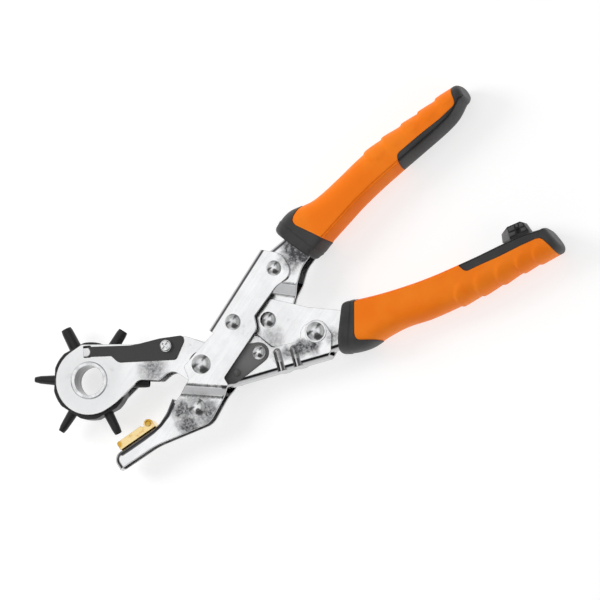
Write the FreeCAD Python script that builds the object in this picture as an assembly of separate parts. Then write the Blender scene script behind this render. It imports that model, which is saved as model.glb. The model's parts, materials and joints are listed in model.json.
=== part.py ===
import FreeCAD, Part

import math
import os

# Compound-leverage rotary hole punch, lying on its side.
# Origin of the exported solids: the centre of the punch wheel's hollow hub.
# +X runs from the wheel towards the handles, +Y towards the upper handle, +Z along the
# pivot axes. All sizes are in millimetres.
# The functions below place everything from the jaw pivot, and main() then moves the tool.
# The tool is modelled with its jaws open, the way its spring holds it.

V = FreeCAD.Vector
Z_AXIS = V(0, 0, 1)

# ---- driving dimensions ------------------------------------------------------------

# linkage (a kite: jaw pivot, two tail pivots, handle pivot)
TAIL_PIVOT_X = 54.0
TAIL_PIVOT_Y = 18.0
HANDLE_PIVOT_X = 37.6
JAW_CLOSING_DEG = 4.25

# stack of plates, as heights above the middle plane
SHEET = 1.5
UPPER_LEVEL = 4.4        # inner face of the upper jaw's plates
SIDE_PLATE_LEVEL = 5.95  # inner face of the black side plates
SIDE_PLATE_THICK = 0.8
LOWER_LEVEL = 6.85       # inner face of the lower jaw lever's plates at the crossing
JAW_LEVEL = 3.0          # inner face of the lower jaw lever's plates under the anvil
LOWER_SHANK_LEVEL = 2.8  # inner face of the lower handle's shank
UPPER_SHANK_LEVEL = 5.2  # inner face of the upper handle's shank at its tail pivot
UPPER_SHANK_TONGUE = 1.2  # inner face of the upper handle's shank at the handle pivot
BEND = 2.5               # outer radius of the folded edges
SHANK_BEND = 3.0         # radius of the upper shank's bends

# punch wheel
WHEEL_X = -49.6
WHEEL_Y = 24.9
WHEEL_HALF = 4.3
WHEEL_APOTHEM = 17.4
WHEEL_ROUND = 18.2
FIRST_TUBE_DEG = 84.0
TUBE_HOLES = [4.5, 2.0, 2.5, 3.0, 3.5, 4.0]
TUBE_TIP_R = 27.8
STUB_R = 2.0
STUB_LONG = 5.0
HUB_BORE_R = 7.0
HUB_R = 7.9
HUB_FLANGE_R = 8.9
HUB_FLANGE = 0.7
RUNNING_GAP = 0.05
DETENT_RING_R = 12.6
DETENT_R = 1.5
DETENT_DEEP = 0.7
WHEEL_CHAMFER = 0.5
SEAT_GAP = 0.02          # a tube's stub in its seat
SEAT_EXTRA = 0.3         # depth of a seat past its stub
SLUG_WAY_R = 1.5
SLUG_R = 1.4             # widest way through a tube's stub
TIP_WALL = 0.2           # wall of a tube at its cutting edge
SHOULDER_R = 2.35        # smallest shoulder of a tube
SHOULDER_WALL = 0.7
SHOULDER_LONG = 1.0

# index leaf and its screw
LEAF_GAP = 0.05
LEAF_THICK = 0.8
LEAF_TIP_GAP = 0.15      # round the leaf's tip in the window
LEAF_HOLE_R = 1.6
SCREW_R = 1.5
SCREW_HEAD_R = 2.9
SCREW_HEAD_HIGH = 1.7
SCREW_HEAD_ROUND = 0.9
CROSS_LONG = 3.6
CROSS_WIDE = 0.8
CROSS_DEEP = 0.8
CROSS_TURN_DEG = 20.0
SCREW_END_Z = 0.5
POST_R = 3.6

# anvil
ANVIL_LEFT_X = -55.2
ANVIL_RIGHT_X = -35.2
ANVIL_HALF = 4.2
WEB_TOP_Y = -10.9
ANVIL_GAP = 0.12
ANVIL_CURL_R = 2.2
ANVIL_CURL_PROUD = 1.1   # rise of the curl above the pad's face
ANVIL_EYE_R = 1.1
ANVIL_RIVET_R = 1.25
ANVIL_RIVET_HEAD_R = 2.1
ANVIL_RIVET_HEAD = 0.8
ANVIL_RIVET_DEEP = 1.9   # into the pad

# rivets: place, shank radius, head radius
SPACER_RIVET_TAIL = (23.6, 8.0)
SPACER_RIVET_JAW = (-13.5, -15.0)
SIDE_PLATE_RIVET = (25.9, -10.9)
SIDE_PLATE_STUD = (11.9, -12.9)
LEAF_SCREW = (-9.7, 17.1)
JAW_PIN_R = 3.0
JAW_HEAD_R = 4.6
SPACER_JAW_HEAD_R = 4.2
PIN_R = 2.5
TAIL_HEAD_R = 3.6
LOWER_TAIL_HEAD_R = 4.4
WASHER_R = 5.2
WASHER_THICK = 0.5
HEAD_HIGH = 1.35
SLEEVE_WALL = 1.2
STUD_R = 1.2
STUD_BALL_R = 2.1
OPEN_PIVOT_GAP = 0.25

# return spring
SPRING_WIRE_R = 0.7
SPRING_PITCH = 1.7
SPRING_TURNS = 3
SPRING_GAP = 0.2

# grips
GRIP_HALF = 10.05
GRIP_EDGE = 3.0
GRIP_START_X = 56.0
SHANK_END_X = 112.0

# catch at the end of the lower handle
CATCH_PIN = (160.5, -38.4)
CATCH_PIN_R = 1.1
CATCH_PIN_HALF = 5.4
CATCH_HALF = 4.2
CATCH_ROOM_HALF = 4.5

TAIL_UP = (TAIL_PIVOT_X, TAIL_PIVOT_Y)
TAIL_DOWN = (TAIL_PIVOT_X, -TAIL_PIVOT_Y)
HANDLE_PIVOT = (HANDLE_PIVOT_X, 0.0)
JAW_PIVOT = (0.0, 0.0)
FAR = 400.0         # beyond every part
BLANK_HALF = 20.0   # half height of blanks that are cut down to their plates' levels


# ---- geometry helpers --------------------------------------------------------------

def rounded_face(corners):
    """Flat face at z = 0 whose corners (x, y, radius) are rounded with tangent arcs."""
    count = len(corners)
    starts, ends, mids = [], [], []
    for i, (x, y, radius) in enumerate(corners):
        here = V(x, y, 0)
        before = V(corners[i - 1][0], corners[i - 1][1], 0) - here
        after = V(corners[(i + 1) % count][0], corners[(i + 1) % count][1], 0) - here
        if radius <= 0:
            starts.append(here)
            ends.append(here)
            mids.append(None)
            continue
        before.normalize()
        after.normalize()
        half = before.getAngle(after) / 2
        reach = radius / math.tan(half)
        bisector = before + after
        bisector.normalize()
        centre = here + bisector * (radius / math.sin(half))
        starts.append(here + before * reach)
        ends.append(here + after * reach)
        mids.append(centre - bisector * radius)
    edges = []
    for i in range(count):
        if mids[i] is not None:
            edges.append(Part.Arc(starts[i], mids[i], ends[i]).toShape())
        following = starts[(i + 1) % count]
        if ends[i].distanceToPoint(following) > 1e-6:
            edges.append(Part.makeLine(ends[i], following))
    return Part.Face(Part.Wire(edges))


def prism(corners, low, high):
    """Solid between two heights over a rounded outline."""
    face = rounded_face(corners)
    face.translate(V(0, 0, low))
    return face.extrude(V(0, 0, high - low))


def plain(points):
    """Outline corners without rounding."""
    return [(x, y, 0) for x, y in points]


def disc(place, radius, low, high):
    """Cylinder along Z at a place (x, y)."""
    return Part.makeCylinder(radius, high - low, V(place[0], place[1], low), Z_AXIS)


def ring(place, inner, outer, low, high):
    """Tube along Z at a place (x, y)."""
    return disc(place, outer, low, high).cut(disc(place, inner, low, high))


def hull(circles, low, high):
    """Solid over the outline that wraps three or more circles (x, y, radius), given in turn."""
    solid = prism(plain([(x, y) for x, y, radius in circles]), low, high)
    for i, (ax, ay, ar) in enumerate(circles):
        bx, by, br = circles[(i + 1) % len(circles)]
        gap = math.hypot(bx - ax, by - ay)
        turn = math.atan2(by - ay, bx - ax)
        lean = math.acos((ar - br) / gap)
        solid = solid.fuse(disc((ax, ay), ar, low, high))
        for side in (1, -1):
            angle = turn + side * lean
            touch_a = (ax + ar * math.cos(angle), ay + ar * math.sin(angle))
            touch_b = (bx + br * math.cos(angle), by + br * math.sin(angle))
            flank = plain([(ax, ay), touch_a, touch_b, (bx, by)])
            solid = solid.fuse(prism(flank, low, high))
    return solid.removeSplitter()


def mirror_z(shape):
    """Copy of a shape on the other side of the middle plane."""
    return shape.mirror(V(0, 0, 0), Z_AXIS)


def side_profile(direction, points):
    """
    Solid that bounds a bent plate: the half heights (distance, height, bend radius) along a
    direction in the XY plane, mirrored about the middle plane and very wide across it.
    """
    lower = [(d, -h, radius) for d, h, radius in reversed(points)]
    face = rounded_face(points + lower)
    face.translate(V(0, 0, -FAR))
    slab = face.extrude(V(0, 0, 2 * FAR))
    # the profile's x becomes the direction, its y becomes Z
    along = V(direction[0], direction[1], 0)
    along.normalize()
    across = along.cross(Z_AXIS)
    matrix = FreeCAD.Matrix(
        along.x, 0, across.x, 0,
        along.y, 0, across.y, 0,
        0, 1, 0, 0,
        0, 0, 0, 1,
    )
    slab.Placement = FreeCAD.Placement(matrix)
    return slab


def step_points(first, second, start, end, radius):
    """Half heights of a plate that steps from one level to another between two distances."""
    return [(-FAR, first, 0), (start, first, radius), (end, second, radius), (FAR, second, 0)]


def round_long_edges(solid, radius, wanted):
    """Fillet the edges that a test picks by their middle point."""
    edges = []
    for edge in solid.Edges:
        middle = edge.valueAt((edge.FirstParameter + edge.LastParameter) / 2)
        if edge.Length > 0.5 and wanted(middle):
            edges.append(edge)
    return solid.makeFillet(radius, edges)


def solid_of(shape):
    """The largest solid of a shape, checked."""
    solids = sorted(shape.Solids, key=lambda s: s.Volume)
    if not solids[-1].isValid():
        solids[-1].fix(1e-6, 1e-6, 1e-4)
    return solids[-1]


# ---- lower jaw lever ---------------------------------------------------------------

LOWER_OUTLINE = [
    (11.7, 11.7, 0),
    (53.0, 29.3, 0),
    (60.6, 22.0, 6.0),
    (60.4, 10.6, 5.5),
    (50.0, 10.2, 5.0),
    (33.6, 4.4, 1.0),
    (31.4, -1.3, 4.5),
    (5.6, -11.6, 1.2),
    (5.5, -15.4, 1.0),
    (-12.5, -24.6, 9.0),
    (-40.0, -18.6, 30.0),
    (-60.8, -18.3, 0),
    (-60.8, -10.9, 4.5),
    (-33.6, -10.9, 8.0),
    (-27.6, -8.4, 9.0),
    (-21.6, -4.3, 0),
    (-20.4, -6.7, 0.5),
    (-9.0, -2.9, 1.5),
    (-7.6, 3.9, 1.5),
    (9.4, 8.2, 1.5),
    (12.95, 8.76, 0),
]
JAW_STEP_DIR = (-0.61, -0.79)
JAW_STEP_START = 10.2
JAW_STEP_END = 14.5
STEP_BEND = 3.5


def lower_jaw_lever():
    """Folded channel: lower jaw with its web under the anvil, and the upper tail."""
    outer = prism(LOWER_OUTLINE, -BLANK_HALF, BLANK_HALF)
    outer = outer.common(side_profile(JAW_STEP_DIR, step_points(
        LOWER_LEVEL + SHEET, JAW_LEVEL + SHEET, JAW_STEP_START, JAW_STEP_END, STEP_BEND)))

    def on_web(middle):
        flat = abs(abs(middle.z) - LOWER_LEVEL - SHEET) < 0.01
        low = abs(abs(middle.z) - JAW_LEVEL - SHEET) < 0.01
        tail = flat and 12.6 < middle.x < 52.5 and middle.y > 11.5
        jaw = low and middle.x < -22.2 and middle.y > -17.8
        round_tip = low and middle.x < -60.5
        return tail or jaw or round_tip

    outer = round_long_edges(outer, BEND, on_web)

    slope = (29.3 - 11.7) / (53.0 - 11.7)
    tail_wall = SHEET * math.hypot(1, slope)
    inner_outline = [
        (100.0, -60.0, 0),
        (100.0, 11.7 + (100.0 - 11.7) * slope - tail_wall, 0),
        (11.7, 11.7 - tail_wall, 0),
        (11.7, 60.0, 0),
        (-21.6, 60.0, 0),
        (-21.6, -6.3, 0),
        (-26.9, -9.7, 10.5),
        (-33.3, -12.4, 9.5),
        (-59.3, -12.4, 3.0),
        (-59.3, -60.0, 0),
    ]
    inner = prism(inner_outline, -BLANK_HALF, BLANK_HALF)
    inner = inner.common(side_profile(JAW_STEP_DIR, step_points(
        LOWER_LEVEL, JAW_LEVEL, JAW_STEP_START - 0.5, JAW_STEP_END - 0.5, STEP_BEND)))
    lever = outer.cut(inner)
    lever = lever.cut(disc(JAW_PIVOT, JAW_PIN_R, -BLANK_HALF, BLANK_HALF))
    for place in (TAIL_UP, SPACER_RIVET_TAIL, SPACER_RIVET_JAW):
        lever = lever.cut(disc(place, PIN_R, -BLANK_HALF, BLANK_HALF))
    for x in anvil_rivet_places():
        lever = lever.cut(anvil_rivet_shank(x, ANVIL_RIVET_R))
    return solid_of(lever)


# ---- upper jaw lever ---------------------------------------------------------------

UPPER_OUTLINE = [
    (-43.4, 41.1, 1.2),
    (-20.5, 25.8, 8.0),
    (-10.0, 22.0, 20.0),
    (0.5, 16.0, 10.0),
    (9.5, 4.5, 8.0),
    (29.6, -3.4, 4.0),
    (32.4, -12.6, 2.5),
    (45.6, -17.4, 3.0),
    (48.6, -12.6, 4.5),
    (59.4, -12.6, 5.2),
    (59.6, -23.5, 3.0),
    (55.2, -29.6, 0.6),
    (51.6, -31.6, 0),
    (3.8, -15.4, 0),
    (-6.0, -8.6, 6.0),
    (-9.9, -1.9, 3.0),
    (-13.5, 6.9, 5.5),
    (-21.6, 5.8, 2.5),
    (-29.4, 11.5, 4.0),
    (-44.5, 8.7, 20.0),
    (-65.8, 8.7, 16.2),
    (-65.8, 41.1, 16.2),
]
SPINE_LEFT = (3.8, -15.4)
SPINE_RIGHT = (51.6, -31.6)
RIB_PLACES = [(33.2, -15.6), (40.6, -18.9)]
RIB_R = 2.3
RIB_PROUD = 0.9
WINDOW = [(-45.9, 35.3, 0.3), (-43.1, 33.6, 0.3), (-40.0, 38.2, 0.3), (-43.2, 40.0, 0.3)]


def spine_direction():
    """Unit vector along the lower tail's folded spine."""
    along = V(SPINE_RIGHT[0] - SPINE_LEFT[0], SPINE_RIGHT[1] - SPINE_LEFT[1], 0)
    along.normalize()
    return along


def stiffening_rib(place):
    """Rounded rib pressed across the fold of the lower tail, on both sides."""
    across = Z_AXIS.cross(spine_direction()) * -1
    centre = V(place[0], place[1], UPPER_LEVEL + SHEET + RIB_PROUD - RIB_R)
    rib = Part.makeCylinder(RIB_R, 12.0, centre, across)
    rib = rib.fuse(Part.makeSphere(RIB_R, centre))
    return rib.fuse(mirror_z(rib))


def upper_jaw_lever():
    """Two side plates round the wheel, joined by the folded spine of the lower tail."""
    half = UPPER_LEVEL + SHEET
    outer = prism(UPPER_OUTLINE, -half, half)
    along = spine_direction()

    def on_spine(middle):
        from_left = middle - V(SPINE_LEFT[0], SPINE_LEFT[1], middle.z)
        off = abs(from_left.cross(along).z)
        return abs(abs(middle.z) - half) < 0.01 and off < 0.05 and 5 < middle.x < 51

    outer = round_long_edges(outer, BEND, on_spine)
    envelope = prism(UPPER_OUTLINE, -half - RIB_PROUD, half + RIB_PROUD)
    for place in RIB_PLACES:
        outer = outer.fuse(stiffening_rib(place).common(envelope))
    wall = SHEET / math.cos(math.atan2(along.y, along.x))
    slope = along.y / along.x
    inner = prism(plain([
        (SPINE_LEFT[0], 80.0),
        (-90.0, 80.0),
        (-90.0, -40.0),
        (SPINE_LEFT[0] - 0.4, -40.0),
        (SPINE_LEFT[0] - 0.4, SPINE_LEFT[1] + wall),
        (90.0, SPINE_LEFT[1] + wall + (90.0 - SPINE_LEFT[0]) * slope),
        (90.0, 80.0),
    ]), -UPPER_LEVEL, UPPER_LEVEL)
    lever = outer.cut(inner)
    lever = lever.cut(disc(JAW_PIVOT, JAW_PIN_R + RUNNING_GAP, -BLANK_HALF, BLANK_HALF))
    lever = lever.cut(disc((WHEEL_X, WHEEL_Y), HUB_R, -BLANK_HALF, BLANK_HALF))
    for place in (TAIL_DOWN, SIDE_PLATE_RIVET):
        lever = lever.cut(disc(place, PIN_R, -BLANK_HALF, BLANK_HALF))
    lever = lever.cut(disc(SIDE_PLATE_STUD, STUD_R, -BLANK_HALF, BLANK_HALF))
    lever = lever.cut(disc(LEAF_SCREW, 1.6, -BLANK_HALF, BLANK_HALF))
    lever = lever.cut(prism(WINDOW, UPPER_LEVEL - 0.5, half + 0.5))
    return solid_of(lever)


def side_plate():
    """Black teardrop plate between the two levers, on the front."""
    low = SIDE_PLATE_LEVEL
    high = low + SIDE_PLATE_THICK
    plate = hull([
        (0.0, 0.0, 6.6),
        (SIDE_PLATE_RIVET[0] - 0.3, SIDE_PLATE_RIVET[1] + 0.2, 4.9),
        (9.4, -12.8, 3.9),
    ], low, high)
    plate = plate.cut(disc(JAW_PIVOT, JAW_PIN_R + RUNNING_GAP, low - 1, high + 1))
    plate = plate.cut(disc(SIDE_PLATE_RIVET, PIN_R, low - 1, high + 1))
    plate = plate.cut(disc(SIDE_PLATE_STUD, STUD_R, low - 1, high + 1))
    return solid_of(plate)


# ---- punch wheel, tubes and hub ----------------------------------------------------

def tube_angles():
    """Directions of the six tubes in degrees, starting with the largest."""
    return [FIRST_TUBE_DEG + 60.0 * i for i in range(6)]


def tube_frame(shape, angle):
    """Turn a shape built along +X from the wheel's centre to a tube's direction."""
    shape = shape.copy()
    shape.rotate(V(0, 0, 0), Z_AXIS, angle)
    shape.translate(V(WHEEL_X, WHEEL_Y, 0))
    return shape


def punch_wheel():
    """Six-sided wheel with rounded corners, radial threaded seats and detent dimples."""
    wheel = disc((0, 0), WHEEL_ROUND, -WHEEL_HALF, WHEEL_HALF)
    for i in range(6):
        keep = Part.makeBox(2 * FAR, 2 * FAR, 2 * FAR, V(WHEEL_APOTHEM - 2 * FAR, -FAR, -FAR))
        keep.rotate(V(0, 0, 0), Z_AXIS, 60.0 * i)
        wheel = wheel.common(keep)
    rims = [e for e in wheel.Edges if abs(abs(e.CenterOfMass.z) - WHEEL_HALF) < 0.01]
    wheel = wheel.makeChamfer(WHEEL_CHAMFER, rims)
    wheel = wheel.cut(disc((0, 0), HUB_R + RUNNING_GAP, -FAR, FAR))
    for i in range(6):
        seat = Part.makeCylinder(
            STUB_R + SEAT_GAP, STUB_LONG + 1.0 + SEAT_EXTRA,
            V(WHEEL_APOTHEM - STUB_LONG - SEAT_EXTRA, 0, 0), V(1, 0, 0))
        slug_way = Part.makeCylinder(SLUG_WAY_R, WHEEL_APOTHEM, V(0, 0, 0), V(1, 0, 0))
        dimple = Part.makeSphere(
            DETENT_R, V(DETENT_RING_R, 0, WHEEL_HALF + DETENT_R - DETENT_DEEP))
        for tool in (seat, slug_way, dimple):
            tool.rotate(V(0, 0, 0), Z_AXIS, 60.0 * i)
            wheel = wheel.cut(tool)
    return solid_of(tube_frame(wheel, FIRST_TUBE_DEG))


def punch_tube(index):
    """Hollow screw-in cutting tube; its outside is sized from the hole it cuts."""
    bore_r = TUBE_HOLES[index] / 2
    tip_r = bore_r + TIP_WALL
    base_r = max(SHOULDER_R, bore_r + SHOULDER_WALL)
    neck_r = 0.45 * tip_r + 0.55 * base_r
    taper = 2.6 - 0.4 * (TUBE_HOLES[index] - 2.0)
    slug_r = min(bore_r, SLUG_R)
    profile = [
        (WHEEL_APOTHEM - STUB_LONG, slug_r),
        (WHEEL_APOTHEM - STUB_LONG, STUB_R),
        (WHEEL_APOTHEM, STUB_R),
        (WHEEL_APOTHEM, base_r),
        (WHEEL_APOTHEM + SHOULDER_LONG, base_r),
        (TUBE_TIP_R - taper, neck_r),
        (TUBE_TIP_R, tip_r),
        (TUBE_TIP_R, bore_r),
        (WHEEL_APOTHEM + 2 * SHOULDER_LONG, bore_r),
        (WHEEL_APOTHEM + SHOULDER_LONG, slug_r),
    ]
    wire = Part.makePolygon([V(x, r, 0) for x, r in profile + profile[:1]])
    tube = Part.Face(wire).revolve(V(0, 0, 0), V(1, 0, 0), 360)
    return solid_of(tube_frame(tube, tube_angles()[index]))


def hub_rivet():
    """Hollow rivet that joins the two head plates and carries the wheel."""
    half = UPPER_LEVEL + SHEET
    place = (WHEEL_X, WHEEL_Y)
    rivet = disc(place, HUB_R, -half, half)
    for side in (1, -1):
        low = min(side * half, side * (half + HUB_FLANGE))
        rivet = rivet.fuse(disc(place, HUB_FLANGE_R, low, low + HUB_FLANGE))
    rivet = rivet.removeSplitter()
    rims = [
        e for e in rivet.Edges
        if abs(abs(e.CenterOfMass.z) - half - HUB_FLANGE) < 0.01 and e.Length > 50
    ]
    rivet = rivet.makeFillet(0.5, rims)
    bore = disc(place, HUB_BORE_R, -FAR, FAR)
    return solid_of(rivet.cut(bore))


def index_leaf():
    """Flat spring whose bent tip drops through the window towards the wheel's dimples."""
    low = UPPER_LEVEL + SHEET + LEAF_GAP
    high = low + LEAF_THICK
    body = prism([
        (-41.3, 38.3, 0.3),
        (-24.0, 27.3, 12.0),
        (-19.4, 25.3, 12.0),
        (-10.0, 21.8, 20.0),
        (-0.4, 17.0, 1.4),
        (-1.2, 14.4, 2.0),
        (-9.4, 9.2, 2.0),
        (-33.2, 23.8, 3.2),
        (-34.4, 28.4, 1.5),
        (-43.9, 34.4, 0.3),
    ], low, high)
    tip = prism([
        (-43.9, 39.2, 0.2),
        (-41.2, 37.6, 0.2),
        (-43.6, 34.3, 0.2),
        (-45.6, 35.7, 0.2),
    ], WHEEL_HALF + RUNNING_GAP, high)
    tip = tip.common(prism(shrink_window(LEAF_TIP_GAP), -FAR, FAR))
    leaf = body.fuse(tip).removeSplitter()
    return solid_of(leaf.cut(disc(LEAF_SCREW, LEAF_HOLE_R, -FAR, FAR)))


def shrink_window(gap):
    """Window corners moved towards the window's middle by a gap."""
    cx = sum(c[0] for c in WINDOW) / len(WINDOW)
    cy = sum(c[1] for c in WINDOW) / len(WINDOW)
    corners = []
    for x, y, radius in WINDOW:
        reach = math.hypot(x - cx, y - cy)
        share = (reach - gap * math.sqrt(2)) / reach
        corners.append((cx + (x - cx) * share, cy + (y - cy) * share, radius))
    return corners


def leaf_screw():
    """Pan-head screw with a cross recess."""
    seat = UPPER_LEVEL + SHEET + LEAF_GAP + LEAF_THICK
    top = seat + SCREW_HEAD_HIGH
    head = disc(LEAF_SCREW, SCREW_HEAD_R, seat, top)
    head = head.makeFillet(SCREW_HEAD_ROUND, [e for e in head.Edges if e.CenterOfMass.z > top - 0.1])
    for angle in (CROSS_TURN_DEG, CROSS_TURN_DEG + 90):
        slot = Part.makeBox(
            CROSS_LONG, CROSS_WIDE, FAR, V(-CROSS_LONG / 2, -CROSS_WIDE / 2, top - CROSS_DEEP))
        slot.rotate(V(0, 0, 0), Z_AXIS, angle)
        slot.translate(V(LEAF_SCREW[0], LEAF_SCREW[1], 0))
        head = head.cut(slot)
    return solid_of(head.fuse(disc(LEAF_SCREW, SCREW_R, SCREW_END_Z, seat)).removeSplitter())


def leaf_screw_post():
    """Threaded post between the upper jaw's plates that takes the leaf's screw."""
    post = disc(LEAF_SCREW, POST_R, -UPPER_LEVEL, UPPER_LEVEL)
    return solid_of(post.cut(disc(LEAF_SCREW, SCREW_R, SCREW_END_Z - RUNNING_GAP, FAR)))


# ---- anvil -------------------------------------------------------------------------

def anvil_top_y():
    """Height of the anvil's face: the circle of the tubes' tips just clears it when shut."""
    turn = math.radians(JAW_CLOSING_DEG)
    centre_y = WHEEL_X * math.sin(turn) + WHEEL_Y * math.cos(turn)
    widest = max(TUBE_HOLES) / 2 + 0.2
    return centre_y - math.hypot(TUBE_TIP_R, widest) - ANVIL_GAP


def anvil_rivet_places():
    """X of the two rivets under the anvil."""
    span = ANVIL_RIGHT_X - ANVIL_LEFT_X
    return [ANVIL_LEFT_X + 0.27 * span, ANVIL_LEFT_X + 0.8 * span]


def anvil_rivet_shank(x, radius):
    """Cylinder along Y through the web under the anvil."""
    return Part.makeCylinder(radius, 4.2, V(x, WEB_TOP_Y - 2.2, 0), V(0, 1, 0))


def anvil():
    """Brass pad whose left end is rolled down and whose right end is rolled up into a curl."""
    top = anvil_top_y()
    curl = (ANVIL_RIGHT_X - ANVIL_CURL_R, top + ANVIL_CURL_PROUD - ANVIL_CURL_R)
    heel_x = curl[0] - ANVIL_CURL_R
    pad = prism([
        (ANVIL_LEFT_X, WEB_TOP_Y, 0.3),
        (ANVIL_RIGHT_X, WEB_TOP_Y, 0.3),
        (ANVIL_RIGHT_X, curl[1], 0.2),
        (heel_x + 0.4, curl[1], 0.2),
        (heel_x - 0.9, top - 0.9, 0.4),
        (heel_x - 1.6, top, 0.3),
        (ANVIL_LEFT_X + 2.2, top, 0.2),
        (ANVIL_LEFT_X + 1.9, top - 0.35, 0.1),
        (ANVIL_LEFT_X + 1.6, top, 0.2),
        (ANVIL_LEFT_X, top, 1.3),
    ], -ANVIL_HALF, ANVIL_HALF)
    roll = disc(curl, ANVIL_CURL_R, -ANVIL_HALF, ANVIL_HALF)
    eye = ring(curl, ANVIL_EYE_R, ANVIL_EYE_R + 0.3, ANVIL_HALF - 0.3, FAR)
    pad = pad.fuse(roll).removeSplitter().cut(eye).cut(mirror_z(eye))
    for x in anvil_rivet_places():
        pad = pad.cut(anvil_rivet_shank(x, ANVIL_RIVET_R))
    return solid_of(pad)


def anvil_rivets():
    """Two rivets set from under the web into the anvil."""
    solids = []
    for x in anvil_rivet_places():
        head = Part.makeCylinder(
            ANVIL_RIVET_HEAD_R, ANVIL_RIVET_HEAD,
            V(x, WEB_TOP_Y - SHEET - ANVIL_RIVET_HEAD, 0), V(0, 1, 0))
        shank = Part.makeCylinder(
            ANVIL_RIVET_R, SHEET + ANVIL_RIVET_DEEP, V(x, WEB_TOP_Y - SHEET, 0), V(0, 1, 0))
        solids.append(solid_of(head.fuse(shank).removeSplitter()))
    return Part.makeCompound(solids)


# ---- rivets and sleeves ------------------------------------------------------------

def rivet(place, pin_r, head_r, half):
    """Pin through the whole stack with a low domed head on both sides."""
    body = disc(place, pin_r, -half, half)
    rise = HEAD_HIGH
    ball_r = (head_r * head_r + rise * rise) / (2 * rise)
    rim = 0.35
    for side in (1, -1):
        ball = Part.makeSphere(ball_r, V(place[0], place[1], side * (half + rim + rise - ball_r)))
        low = half if side > 0 else -half - rim - rise
        head = disc(place, head_r, low, low + rim + rise).common(ball)
        body = body.fuse(head)
    return solid_of(body.removeSplitter())


def sleeve(place, pin_r, half, wall=SLEEVE_WALL):
    """Spacer tube round a pin."""
    return solid_of(ring(place, pin_r, pin_r + wall, -half, half))


def tail_washer():
    """Washers under both heads of the lower tail rivet."""
    low = UPPER_LEVEL + SHEET
    front = ring(TAIL_DOWN, PIN_R, WASHER_R, low, low + WASHER_THICK)
    return Part.makeCompound([front, mirror_z(front)])


def side_plate_studs():
    """Small domed studs that pin the side plates to the lower tail, front and rear."""
    top = SIDE_PLATE_LEVEL + SIDE_PLATE_THICK
    stud = disc(SIDE_PLATE_STUD, STUD_R, UPPER_LEVEL, top)
    ball = Part.makeSphere(STUD_BALL_R, V(SIDE_PLATE_STUD[0], SIDE_PLATE_STUD[1], top - STUD_BALL_R / 2))
    dome = ball.common(disc(SIDE_PLATE_STUD, STUD_BALL_R, top, top + STUD_BALL_R))
    stud = stud.fuse(dome).removeSplitter()
    return Part.makeCompound([solid_of(stud), solid_of(mirror_z(stud))])


# ---- return spring -----------------------------------------------------------------

def tangent_angle(target, radius, side):
    """Direction of the point where a line from a target touches a circle round the origin."""
    reach = math.hypot(target[0], target[1])
    return math.atan2(target[1], target[0]) + side * math.acos(radius / reach)


def return_spring():
    """Torsion spring round the jaw pivot's sleeve; its crossed legs push the tails apart."""
    coil_r = JAW_PIN_R + SLEEVE_WALL + SPRING_GAP + SPRING_WIRE_R
    stand_off = PIN_R + SLEEVE_WALL + SPRING_WIRE_R + SPRING_GAP
    upper_end = (SPACER_RIVET_TAIL[0] - 1.0, SPACER_RIVET_TAIL[1] - stand_off)
    lower_end = (SIDE_PLATE_RIVET[0] - 2.0, SIDE_PLATE_RIVET[1] + stand_off)
    first = tangent_angle(lower_end, coil_r, 1)
    last = tangent_angle(upper_end, coil_r, -1) + 2 * math.pi * (SPRING_TURNS + 1)
    high = SPRING_PITCH * (last - first) / (2 * math.pi)
    coil = []
    steps = 16 * SPRING_TURNS
    for step in range(steps + 1):
        share = step / steps
        angle = first + (last - first) * share
        coil.append(V(coil_r * math.cos(angle), coil_r * math.sin(angle), high * (share - 0.5)))
    path = leg_points(V(lower_end[0], lower_end[1], -high / 2), coil[0])
    path += coil
    path += reversed(leg_points(V(upper_end[0], upper_end[1], high / 2), coil[-1]))
    centre_line = Part.BSplineCurve()
    centre_line.interpolate(path)
    section = Part.Wire(Part.makeCircle(SPRING_WIRE_R, path[0], path[1] - path[0]))
    return solid_of(Part.Wire(centre_line.toShape()).makePipeShell([section], True, False))


def leg_points(end, root):
    """Points of a straight spring leg from its end up to, but without, its root."""
    return [end + (root - end) * share for share in (0, 0.2, 0.4, 0.6, 0.8)]


# ---- handle shanks -----------------------------------------------------------------

def lower_handle_shank():
    """Folded channel from the handle pivot, under the lower tail, into the lower grip."""
    half = LOWER_SHANK_LEVEL + SHEET
    outline = [
        (42.4, 9.4, 5.0),
        (57.0, -6.0, 12.0),
        (72.0, -18.4, 12.0),
        (112.0, -27.5, 2.0),
        (112.0, -37.5, 0),
        (76.0, -34.5, 10.0),
        (62.0, -31.9, 8.0),
        (53.0, -29.3, 0),
        (46.0, -23.5, 6.0),
        (32.4, -11.8, 6.0),
        (28.6, -0.5, 7.5),
        (33.5, 9.6, 7.0),
    ]
    outer = prism(outline, -half, half)

    def on_spine(middle):
        on_plate = abs(abs(middle.z) - half) < 0.01
        return on_plate and 54.5 < middle.x < 111 and middle.y < -29.0

    outer = round_long_edges(outer, BEND, on_spine)
    wall = SHEET + 0.05
    inner = prism(plain([
        (20.0, -60.0),
        (52.8, -60.0),
        (52.8, -29.3 + wall),
        (62.0, -31.9 + wall),
        (76.0, -34.5 + wall),
        (115.0, -37.7 + wall),
        (115.0, 40.0),
        (20.0, 40.0),
    ]), -LOWER_SHANK_LEVEL, LOWER_SHANK_LEVEL)
    shank = outer.cut(inner)
    shank = shank.cut(disc(HANDLE_PIVOT, PIN_R, -FAR, FAR))
    shank = shank.cut(disc(TAIL_DOWN, PIN_R + RUNNING_GAP, -FAR, FAR))
    return solid_of(shank)


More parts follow.
